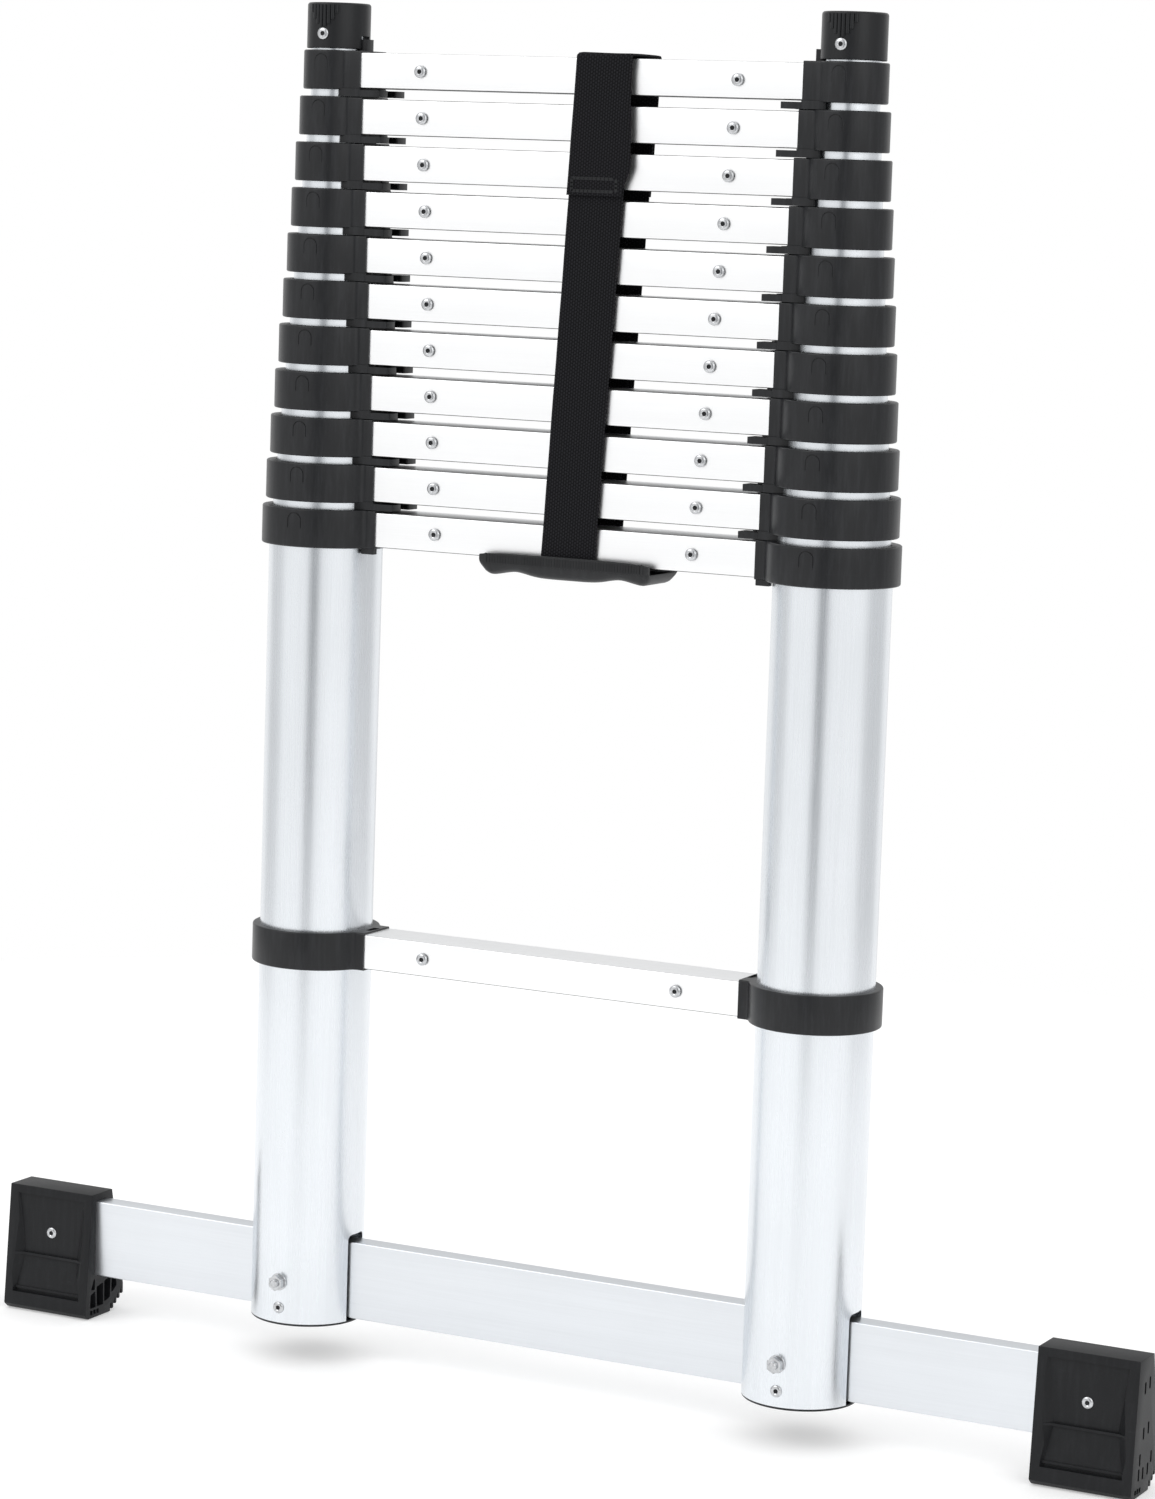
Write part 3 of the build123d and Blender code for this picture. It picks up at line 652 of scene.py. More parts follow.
def coil_tree() -> GeometryTree:
    """Builds the tree that winds a spring along Z, which then lies along X."""
    tree = GeometryTree(
        "wind_spring",
        {
            "Turns": ("NodeSocketFloat", 5.0),
            "Radius": ("NodeSocketFloat", 0.004),
            "Length": ("NodeSocketFloat", 0.01),
            "Wire": ("NodeSocketFloat", 0.0004),
            "Material": ("NodeSocketMaterial", None),
        },
    )
    spiral = tree.add(
        "GeometryNodeCurveSpiral",
        None,
        {
            "Resolution": 20,
            "Rotations": tree.inputs["Turns"],
            "Start Radius": tree.inputs["Radius"],
            "End Radius": tree.inputs["Radius"],
            "Height": tree.inputs["Length"],
        },
    )
    ring = tree.add(
        "GeometryNodeCurvePrimitiveCircle", None, {"Resolution": 8, "Radius": tree.inputs["Wire"]}
    )
    wire = tree.add(
        "GeometryNodeCurveToMesh", None, {"Curve": spiral, "Profile Curve": ring, "Fill Caps": True}
    )
    springs = tree.add(
        "GeometryNodeInstanceOnPoints",
        None,
        {
            "Points": tree.inputs["Geometry"],
            "Instance": wire,
            "Rotation": (0.0, math.pi / 2, 0.0),
        },
    )
    return tree.end(springs)


@dataclass(frozen=True)
class Seat:
    """Where a scattered shape sits, in millimetres, its facing, its stretch and its turn."""

    at: Point
    facing: Point
    stretch: Point = (1.0, 1.0, 1.0)
    turn: float = 0.0


@dataclass
class Workshop:
    """What every sub-assembly shares: the node trees and the small shapes they set."""

    scatter: GeometryTree = field(default_factory=scatter_tree)
    coils: GeometryTree = field(default_factory=coil_tree)
    most_turn: float = 2 * math.pi
    seed: int = 7

    def points(self, name: str, seats: Sequence[Seat]) -> bpy.types.Object:
        """Makes a mesh of points that carry their facing and their stretch.

        Args:
            name: The object's name.
            seats: The places.

        Returns:
            The object.
        """
        mesh = bpy.data.meshes.new(name)
        mesh.from_pydata([tuple(c * MM for c in seat.at) for seat in seats], [], [])
        for label in ("facing", "stretch"):
            attribute = mesh.attributes.new(label, "FLOAT_VECTOR", "POINT")
            for item, seat in zip(attribute.data, seats):
                item.vector = getattr(seat, label)
        attribute = mesh.attributes.new("turn", "FLOAT", "POINT")
        for item, seat in zip(attribute.data, seats):
            item.value = seat.turn
        obj = bpy.data.objects.new(name, mesh)
        bpy.context.scene.collection.objects.link(obj)
        return obj

    def set_shapes(
        self,
        name: str,
        shape: Solid,
        seats: Sequence[Seat],
        material: bpy.types.Material,
        spin: bool = False,
    ) -> bpy.types.Object:
        """Sets a small shape at each seat.

        Args:
            name: The new object's name.
            shape: The shape, standing on the XY plane with its face along Z.
            seats: The places.
            material: The finish.
            spin: Whether each copy is turned about its own axis by chance.

        Returns:
            The object, as a plain mesh.
        """
        template = mesh_object(name + "_shape", shape)
        obj = self.scatter.run(
            self.points(name, seats),
            {
                "Shape": template,
                "Size": 1.0,
                "Most turn": self.most_turn if spin else 0.0,
                "Seed": self.seed,
                "Material": material,
            },
        )
        bpy.data.objects.remove(template)
        soften(obj)
        return obj


# ---- finishes --------------------------------------------------------------------------------


@dataclass(frozen=True)
class Aluminium:
    """Drawn aluminium: fine die lines along the profile, cloudy sheen and a few rubs, with optional painted
    shade on downward faces and along the upper corners.
    """

    name: str
    along: Axis
    colour: tuple[float, float, float]
    roughness: float
    lines: float = 900.0
    line_depth: float = 0.00004
    rubs: float = 0.5
    contrast: float = 0.06
    # under and rim set how strongly painted shade darkens downward faces and the upper rounded corners.
    under: float = 0.0
    rim: float = 0.0

    def make(self) -> bpy.types.Material:
        """Builds the material."""
        graph = ShaderGraph(self.name)
        lines = graph.noise(graph.place(self.along.value), self.lines, 4.0, 0.6)
        broad = graph.noise(graph.place(self.along.value), self.lines / 9, 2.0)
        cloud = graph.noise(graph.place(), 9.0, 4.0, 0.6)
        grain = graph.noise(graph.place((1.0, 1.0, 0.35)), 60.0, 5.0, 0.7)
        rub = grain.over(0.60, 0.78) * cloud.over(0.45, 0.7) * self.rubs
        darker = tuple((1 - self.contrast) * c for c in self.colour)
        lighter = tuple(min(1.0, (1 + self.contrast / 3) * c) for c in self.colour)
        tone = lines * 0.35 + broad * 0.3 + cloud * 0.35
        facing = graph.add("ShaderNodeNewGeometry", output="Normal")
        up = Signal(graph, graph.make("ShaderNodeSeparateXYZ", None, {0: facing}).outputs[2])
        # Painted shade: faces that point down, and a thin band on the upper rounded corners, are blended by
        # world normal towards edge, a near-black copy of the metal colour.
        below = (0 - up).over(0.3, 0.62) * self.under
        rim = up.over(0.3, 0.6) * (1 - up.over(0.8, 0.96)) * self.rim
        metal = graph.blend(tone.over(0.3, 0.7), darker, lighter)
        edge = tuple(0.1 * c for c in self.colour)
        return graph.surface(
            Base_Color=graph.blend(below + rim, metal, edge),
            Metallic=1.0,
            Roughness=self.roughness - 0.04 + lines * 0.07 + cloud * 0.05 + rub * 0.22,
            Normal=graph.bump(lines + broad * 0.8 + rub * 0.6, 0.5, self.line_depth),
        )


@dataclass(frozen=True)
class Moulding:
    """Black plastic: a fine grain, a mottled sheen, and rubbed edges a little lighter."""

    name: str
    colour: tuple[float, float, float]
    roughness: float
    grain: float = 1400.0
    grain_depth: float = 0.00006
    drag: float = 0.3
    gloss: float = 0.35

    def make(self) -> bpy.types.Material:
        """Builds the material."""
        graph = ShaderGraph(self.name)
        grain = graph.noise(graph.place(), self.grain, 3.0, 0.6)
        drag = graph.noise(graph.place((1.0, 1.0, 0.12)), 260.0, 4.0, 0.65)
        cloud = graph.noise(graph.place(), 35.0, 4.0, 0.6)
        scuff = graph.noise(graph.place((1.0, 1.0, 4.0)), 45.0, 6.0, 0.75).over(0.62, 0.72)
        worn = tuple(2.2 * c + 0.006 for c in self.colour)
        share = cloud * 0.35 + drag.over(0.4, 0.75) * self.drag + scuff * 0.25
        return graph.surface(
            Base_Color=graph.blend(share, self.colour, worn),
            Roughness=self.roughness - 0.06 + drag * 0.14 * (self.drag * 2) + cloud * 0.12 - scuff * 0.05,
            Specular_IOR_Level=self.gloss,
            Normal=graph.bump(grain + drag * (2.5 * self.drag), 0.6, self.grain_depth),
        )


@dataclass(frozen=True)
class PlatedSteel:
    """Bright plated steel with a faint turned mark."""

    name: str = "plated_steel"
    colour: tuple[float, float, float] = (0.62, 0.63, 0.645)
    roughness: float = 0.12

    def make(self) -> bpy.types.Material:
        """Builds the material."""
        graph = ShaderGraph(self.name)
        cloud = graph.noise(graph.place(), 420.0, 4.0, 0.6)
        speck = graph.noise(graph.place(), 1800.0, 2.0, 0.5)
        dull = tuple(0.72 * c for c in self.colour)
        return graph.surface(
            Base_Color=graph.blend(cloud.over(0.3, 0.75), self.colour, dull),
            Metallic=1.0,
            Roughness=self.roughness + cloud * 0.14,
            Normal=graph.bump(cloud + speck * 0.4, 0.35, 0.00005),
        )


@dataclass(frozen=True)
class Webbing:
    """Black woven tape. The weave follows the tape by its "tape" attribute: across, along."""

    name: str = "black_webbing"
    yarn_across: float = 0.0019
    yarn_along: float = 0.0024
    colour: tuple[float, float, float] = (0.0025, 0.0025, 0.003)
    # The lighter colour, for fuzz and for the painted highlight on the weave's crowns.
    lint_and_sheen: tuple[float, float, float] = (0.042, 0.042, 0.048)

    def make(self) -> bpy.types.Material:
        """Builds the material."""
        graph = ShaderGraph(self.name)
        tape = graph.add("ShaderNodeAttribute", {"attribute_name": "tape"}, None, "Vector")
        split = graph.make("ShaderNodeSeparateXYZ", None, {0: tape})
        across = Signal(graph, split.outputs[0]) * (1 / self.yarn_across)
        along = Signal(graph, split.outputs[1]) * (1 / self.yarn_along)
        column = across.floor()
        shifted = along + column * 0.5
        knuckle = (shifted * math.pi).sine().size()
        ridge = (across * math.pi).sine().size()
        wobble = graph.noise(graph.place(), 700.0, 3.0, 0.6)
        height = knuckle * ridge * (0.75 + wobble * 0.5)
        fuzz = graph.noise(graph.place(), 2600.0, 4.0, 0.7).over(0.58, 0.8)
        # Painted highlight and shade: the weave's raised crowns are mixed towards the lighter colour and the
        # hollows between yarns stay black. The fuzz noise adds lighter lint.
        return graph.surface(
            Base_Color=graph.blend(height * 0.42 + fuzz * 0.35, self.colour, self.lint_and_sheen),
            Roughness=0.78 + wobble * 0.14,
            Specular_IOR_Level=0.12,
            Normal=graph.bump(height + fuzz * 0.15, 0.9, 0.0004),
        )


@dataclass(frozen=True)
class Finishes:
    """Every finish of the ladder, made once."""

    tube: bpy.types.Material = field(default_factory=Aluminium(
        "satin_tube", Axis.Z, (0.80, 0.83, 0.862), 0.25, 700.0, 0.00002, 0.6, 0.07).make)
    rung: bpy.types.Material = field(default_factory=Aluminium(
        "drawn_rung", Axis.X, (0.965, 0.97, 0.975), 0.34, 1100.0, 0.00001, 0.15, 0.03, 1.0, 0.5).make)
    bar: bpy.types.Material = field(default_factory=Aluminium(
        "brushed_bar", Axis.X, (0.755, 0.78, 0.81), 0.31, 800.0, 0.00002, 0.4, 0.05).make)
    collar: bpy.types.Material = field(default_factory=Moulding(
        "collar_nylon", (0.0055, 0.006, 0.0072), 0.27, drag=0.6, gloss=0.34).make)
    cap: bpy.types.Material = field(default_factory=Moulding(
        "cap_plastic", (0.0055, 0.006, 0.007), 0.3, gloss=0.3).make)
    foot: bpy.types.Material = field(default_factory=Moulding(
        "foot_rubber", (0.0075, 0.008, 0.009), 0.42, 900.0, 0.00012, 0.25, gloss=0.2).make)
    handle: bpy.types.Material = field(default_factory=Moulding(
        "handle_plastic", (0.011, 0.0115, 0.0125), 0.4, gloss=0.3).make)
    steel: bpy.types.Material = field(default_factory=PlatedSteel().make)
    webbing: bpy.types.Material = field(default_factory=Webbing().make)


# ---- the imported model's own sizes ------------------------------------------------------------


def limits(node: str) -> tuple[Vector, Vector]:
    """A CAD node's lowest and highest corners in millimetres."""
    low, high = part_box(node)
    return low / MM, high / MM


def section_node(section: int, part: str) -> str:
    """The name of a section's CAD node; section 0 is the base."""
    return f"base_{part}" if section == 0 else f"section_{section:02d}_{part}"


def body_name(section: int) -> str:
    """The name of a section's body; section 0 is the base."""
    return "base" if section == 0 else f"section_{section:02d}"


@dataclass(frozen=True)
class Stile:
    """One section's tubes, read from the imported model, in millimetres."""

    section: int

    @property
    def node(self) -> str:
        """The CAD node that holds the right tube."""
        return "base_tube_right" if self.section == 0 else section_node(self.section, "tubes")

    @property
    def radius(self) -> float:
        """The tube's outer radius."""
        return limits(self.node)[1].y

    @property
    def x(self) -> float:
        """The distance of the right tube's axis from the middle."""
        return limits(self.node)[1].x - self.radius

    @property
    def bottom(self) -> float:
        """The tube's lower end."""
        return limits(self.node)[0].z

    @property
    def top(self) -> float:
        """The tube's upper end."""
        return limits(self.node)[1].z


def enrol(
    obj: bpy.types.Object, body: str, slot: str, material: bpy.types.Material, *nodes: str
) -> bpy.types.Object:
    """Gives a finished piece its finish and its body, and hides the CAD nodes that it stands for.

    Args:
        obj: The piece.
        body: The body it rides on.
        slot: The record's material slot; not used.
        material: Its finish.
        nodes: The CAD nodes it stands for.

    Returns:
        The piece.
    """
    obj.data.materials.clear()
    obj.data.materials.append(material)
    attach(obj, body)
    if nodes:
        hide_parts(*nodes)
    log.info("%s rides on %s", obj.name, body)
    return obj


# ---- tubes -----------------------------------------------------------------------------------


@dataclass
class Tubes:
    """The nested tubes of the stiles, in millimetres."""

    finishes: Finishes
    travel: float
    wall: float = 1.5
    rim: float = 0.35
    pin_hole: float = 5.05
    hole_margin: float = 9.0
    facets: int = 96
    slot_clearance: float = 0.25
    slot_headroom: float = 3.0
    slot_corner: float = 4.0
    slot_columns: int = 10
    free_columns: int = 42

    def rung_height(self, section: int) -> float:
        """The height of the middle of a section's rung."""
        low, high = limits(section_node(section, "rung"))
        return (low.z + high.z) / 2

    def sliding(self, section: int) -> bpy.types.Object:
        """Makes one sliding section's two tubes, with the holes for the lock pins.

        Args:
            section: The section, from 1.

        Returns:
            The object.
        """
        stile = Stile(section)
        holes = [self.rung_height(section - 1) - self.travel]
        if section < SECTIONS:
            holes.append(self.rung_height(section))
        levels = sorted(z + d for z in holes for d in (-self.hole_margin, self.hole_margin))
        inner = stile.radius - self.wall
        outside = [(stile.radius, z) for z in (stile.bottom + self.rim, *levels, stile.top - self.rim)]
        inside = [(inner, z) for _, z in reversed(outside)]
        profile = [
            *outside,
            (stile.radius - self.rim, stile.top),
            (inner + self.rim, stile.top),
            *inside,
            (inner + self.rim, stile.bottom),
            (stile.radius - self.rim, stile.bottom),
        ]
        shell = Solid().revolve(profile, (stile.x, 0, 0), segments=self.facets, looped=True)
        cutter = Solid()
        for z in holes:
            middle = (stile.x - stile.radius + self.wall / 2, 0, z)
            ends = [(self.pin_hole, -2 * self.wall), (self.pin_hole, 2 * self.wall)]
            cutter.revolve(ends, middle, (1, 0, 0), 24)
        tubes = mesh_object(f"section_{section:02d}_drawn_tubes", shell.both_sides())
        carve(tubes, cutter.both_sides())
        return enrol(
            tubes, body_name(section), "sliding_tube", self.finishes.tube,
            section_node(section, "tubes"),
        )

    def slot_edge(self, y: float, half_width: float, top: float) -> float:
        """The height of the slot's upper edge at a distance from its middle."""
        over = max(0.0, abs(y) - (half_width - self.slot_corner))
        return top - self.slot_corner + math.sqrt(max(0.0, self.slot_corner**2 - over**2))

    def base(self, side: float) -> bpy.types.Object:
        """Makes a base tube, notched from below for the stabiliser bar.

        Args:
            side: LEFT or RIGHT.

        Returns:
            The object.
        """
        stile = Stile(0)
        bar_high = limits("stabiliser_bar")[1]
        half = bar_high.y + self.slot_clearance
        slot_top = bar_high.z + self.slot_headroom
        radii = (stile.radius, stile.radius - self.wall)
        above = slot_top + self.slot_corner
        edge = math.asin(half / stile.radius)
        ys = [half * math.sin(math.pi / 2 * (2 * k / self.slot_columns - 1))
              for k in range(self.slot_columns + 1)]
        step = (math.pi - 2 * edge) / self.free_columns
        stations: list[tuple[str, float, float]] = []
        for outward in (1.0, -1.0):
            for k, y in enumerate(ys):
                kind = "edge" if k in (0, self.slot_columns) else "slot"
                stations.append((kind, outward * y, outward))
            for k in range(1, self.free_columns):
                stations.append(("free", outward * (edge + k * step), outward))
        solid = Solid()
        columns = []
        for kind, value, outward in stations:
            walls = []
            for radius in radii:
                if kind == "free":
                    angle = value if outward > 0 else math.pi - value
                    x, y = radius * math.cos(angle), radius * math.sin(angle)
                    if outward < 0:
                        x, y = -radius * math.cos(-value), radius * math.sin(value)
                else:
                    y = value
                    x = outward * math.sqrt(radius**2 - y**2)
                low = self.slot_edge(y, half, slot_top)
                heights = {"free": [stile.bottom], "slot": [low], "edge": [stile.bottom, low]}[kind]
                heights = [*heights, above, stile.top]
                first = len(solid.points)
                solid.points.extend((stile.x + x, y, z) for z in heights)
                walls.append(list(range(first, first + len(heights))))
            columns.append((kind, walls))
        for index, (kind, walls) in enumerate(columns):
            kind_next, walls_next = columns[(index + 1) % len(columns)]
            in_slot = "slot" in (kind, kind_next)
            lower = []
            for wall, wall_next in zip(walls, walls_next):
                here = wall[-3] if in_slot else wall[0]
                there = wall_next[-3] if in_slot else wall_next[0]
                face = [here, there]
                face += [] if in_slot else wall_next[1:-2]
                face += [wall_next[-2], wall[-2]]
                face += [] if in_slot else list(reversed(wall[1:-2]))
                solid.faces.append(tuple(face))
                solid.faces.append((wall[-2], wall_next[-2], wall_next[-1], wall[-1]))
                lower.append((here, there))
            (a, b), (c, d) = lower
            solid.faces.append((a, b, d, c))
            solid.faces.append((walls[0][-1], walls_next[0][-1], walls_next[1][-1], walls[1][-1]))
            if kind == "edge":
                outer, inner = walls
                solid.faces.append((outer[0], outer[1], inner[1], inner[0]))
        name = "right" if side == RIGHT else "left"
        shape = solid if side == RIGHT else solid.mirrored()
        tube = mesh_object(f"base_tube_{name}_drawn", shape)
        return enrol(tube, "base", "stile_tube", self.finishes.tube, f"base_tube_{name}")


@dataclass
class BoxSections:
    """Rungs and the stabiliser bar: drawn box sections with rounded edges."""

    finishes: Finishes
    rung_wall: float = 1.6
    rung_corner: float = 2.2
    bar_wall: float = 2.0
    bar_corner: float = 3.0
    corner_steps: int = 6

    def profile(self, name: str, node: str, wall: float, corner: float) -> bpy.types.Object:
        """Makes a hollow box section as long as its CAD node.

        Args:
            name: The object's name.
            node: The CAD node.
            wall: The wall's thickness.
            corner: The radius of its outer edges.

        Returns:
            The object.
        """
        low, high = limits(node)
        middle = (0.0, (low.z + high.z) / 2)
        width, height = high.y - low.y, high.z - low.z
        outer = rounded(rectangle(width, height, middle), corner, self.corner_steps)
        inner = rounded(
            rectangle(width - 2 * wall, height - 2 * wall, middle), corner / 2, self.corner_steps
        )
        rings = [
            [(x, y, z) for y, z in outline]
            for x, outline in ((low.x, outer), (high.x, outer), (high.x, inner), (low.x, inner))
        ]
        return mesh_object(name, Solid().loft(rings, looped=True))

    def rung(self, section: int) -> bpy.types.Object:
        """Makes the rung on top of a section."""
        node = section_node(section, "rung")
        obj = self.profile(f"{node}_profile", node, self.rung_wall, self.rung_corner)
        return enrol(obj, body_name(section), "rung", self.finishes.rung, node)

    def middle_rung(self) -> bpy.types.Object:
        """Makes the rung halfway down the base tubes."""
        obj = self.profile("middle_rung_profile", "middle_rung", self.rung_wall, self.rung_corner)
        return enrol(obj, "base", "rung", self.finishes.rung, "middle_rung")

    def bar(self) -> bpy.types.Object:
        """Makes the stabiliser bar."""
        obj = self.profile("stabiliser_bar_profile", "stabiliser_bar", self.bar_wall, self.bar_corner)
        return enrol(obj, "base", "bar", self.finishes.bar, "stabiliser_bar")


# ---- collars ---------------------------------------------------------------------------------


@dataclass
class Collars:
    """The moulded collars that hold each rung to its tubes, in millimetres."""

    finishes: Finishes
    edge: float = 1.15
    edge_steps: int = 4
    blend: float = 5.0
    blend_steps: int = 7
    ring_steps: int = 72
    lip: float = 1.5
    tab: float = 11.0
    groove: float = 0.8
    groove_depth: float = 0.7
    wedge_inner: float = 1.0
    wedge_outer: float = 6.5
    wedge_half_width: float = 4.5
    spacer_length: float = 16.0
    spacer_depth: float = 10.0
    tongue_length: float = 15.0
    tongue_near: float = 6.0
    tongue_far: float = 18.0
    recess: tuple[float, float, float] = (6.0, 4.0, 1.2)

    def outline(self, stile: Stile, block_x: float, depth: float, ring: float) -> list[tuple[Flat, Flat]]:
        """The plan of the right collar, with each point's outward direction.

        Args:
            stile: The tube it holds.
            block_x: Where the rung ends.
            depth: Half the depth of the rung.
            ring: The ring's outer radius.

        Returns:
            Pairs of a point and its outward direction.
        """
        blend_y = depth + self.blend
        blend_x = stile.x - math.sqrt((ring + self.blend) ** 2 - blend_y**2)
        reach = math.atan2(stile.x - blend_x, blend_y)
        half: list[tuple[Flat, Flat]] = [((block_x, -depth), (0.0, -1.0))]
        for k in range(self.blend_steps + 1):
            angle = reach * k / self.blend_steps
            outward = (-math.sin(angle), -math.cos(angle))
            centre = (blend_x, -blend_y)
            point = (centre[0] + self.blend * math.sin(angle), centre[1] + self.blend * math.cos(angle))
            half.append((point, outward))
        start = -math.pi / 2 - reach
        sweep = 2 * (math.pi / 2 + reach)
        for k in range(1, self.ring_steps // 2 + 1):
            angle = start + sweep / 2 * (2 * k / self.ring_steps)
            outward = (math.cos(angle), math.sin(angle))
            half.append(((stile.x + ring * outward[0], ring * outward[1]), outward))
        back = [((x, -y), (nx, -ny)) for (x, y), (nx, ny) in reversed(half[:-1])]
        return half + back

    def shell(self, stile: Stile, node: str, rung: str, locking: bool) -> Solid:
        """The ring and block of the right collar.

        Args:
            stile: The tube it holds.
            node: The collars' CAD node.
            rung: The rung's CAD node.
            locking: Whether the ring has a lip over its tube's end.

        Returns:
            The solid.
        """
        low, high = limits(rung)
        ring = limits(node)[1].x - stile.x
        plan = self.outline(stile, high.x, high.y, ring)
        turns = [math.pi / 2 * k / self.edge_steps for k in range(self.edge_steps + 1)]
        levels = [(low.z + self.edge * (1 - math.sin(t)), self.edge * (1 - math.cos(t)))
                  for t in reversed(turns)]
        levels += [(high.z - self.edge * (1 - math.sin(t)), self.edge * (1 - math.cos(t)))
                   for t in turns]
        rings = [
            [(x - nx * inset, y - ny * inset, z) for (x, y), (nx, ny) in plan]
            for z, inset in levels
        ]
        solid = Solid().loft(rings, capped=False)
        mouth = stile.radius - self.lip if locking else stile.radius
        bore = [(stile.radius, low.z), (stile.radius, high.z - self.lip), (mouth, high.z - self.lip)]
        bore.append((mouth, high.z))
        wall = [
            [(x, y, z) for x, y in circle(radius, self.ring_steps, (stile.x, 0.0))]
            for radius, z in bore
        ]
        first = len(solid.points)
        solid.loft(wall, capped=False)
        for ring_points, offset, hole, hole_offset in (
            (rings[0], 0, wall[0], first),
            (rings[-1], (len(rings) - 1) * len(plan), wall[-1], first + (len(wall) - 1) * self.ring_steps),
        ):
            loops = [[Vector(p) for p in ring_points], [Vector(p) for p in hole]]
            for triangle in tessellate_polygon(loops):
                solid.faces.append(tuple(
                    offset + k if k < len(plan) else hole_offset + k - len(plan) for k in triangle
                ))
        return solid

    def tab_groove(self, stile: Stile, ring: float, height: float) -> Solid:
        """The arched outline of the snap tab, to be cut into the ring's front."""
        outer, inner = self.tab / 2, self.tab / 2 - self.groove
        arch = [math.pi * k / 14 for k in range(15)]
        legs = self.tab / 2
        outline = [(outer, 0.0)]
        outline += [(outer * math.cos(t), legs + outer * math.sin(t)) for t in arch]
        outline += [(-outer, 0.0), (-inner, 0.0)]
        outline += [(-inner * math.cos(t), legs + inner * math.sin(t)) for t in arch]
        outline += [(inner, 0.0)]
        front = -ring + self.groove_depth
        return Solid().prism(
            outline, lambda a, b, depth: (stile.x + a, depth, height + b), front - 3.0, front
        )

    def make(self, section: int, middle: bool = False) -> bpy.types.Object:
        """Makes a section's two collars.

        Args:
            section: The section; 0 is the base.
            middle: Whether these are the collars of the middle rung.

        Returns:
            The object.
        """
        node = "middle_collars" if middle else section_node(section, "collars")
        rung = "middle_rung" if middle else section_node(section, "rung")
        stile = Stile(section)
        low, high = limits(rung)
        box_low, box_high = limits(node)
        ring = box_high.x - stile.x
        height = (low.z + high.z) / 2
        locking = not middle and section < SECTIONS
        body = mesh_object(node + "_ring", self.shell(stile, node, rung, locking).both_sides())
        extras = Solid()
        if middle:
            x0 = high.x + self.recess[2]
            sink = Solid().block(
                (x0, -self.recess[0], high.z - 1.0), (x0 + self.recess[1], self.recess[0], high.z + 3.0), 0.5
            )
            carve(body, sink.both_sides())
        else:
            carve(body, self.tab_groove(stile, ring, height).both_sides())
            wall = stile.x - stile.radius
            outer, inner = wall - self.wedge_outer, wall - self.wedge_inner
            extras.block(
                (outer, -self.wedge_half_width, high.z - 1.0),
                (inner, self.wedge_half_width, box_high.z), 0.6,
            )
        if section > 0:
            for side in (FRONT, BACK):
                near, far = sorted((side * high.y, side * (high.y - self.spacer_depth)))
                extras.block((high.x, near, box_low.z), (high.x + self.spacer_length, far, low.z + 1.0), 0.4)
                near, far = sorted((side * self.tongue_near, side * self.tongue_far))
                start = high.x - self.tongue_length
                extras.block((start, near, box_low.z), (high.x + 3.0, far, low.z - 0.05), 0.4)
        parts = [body]
        if extras.points:
            parts.append(mesh_object(node + "_extras", extras.both_sides()))
        obj = joined(node + "_moulded", parts)
        return enrol(obj, body_name(section), "collar", self.finishes.collar, node)


# ---- rivets, lock pins, bolts ----------------------------------------------------------------


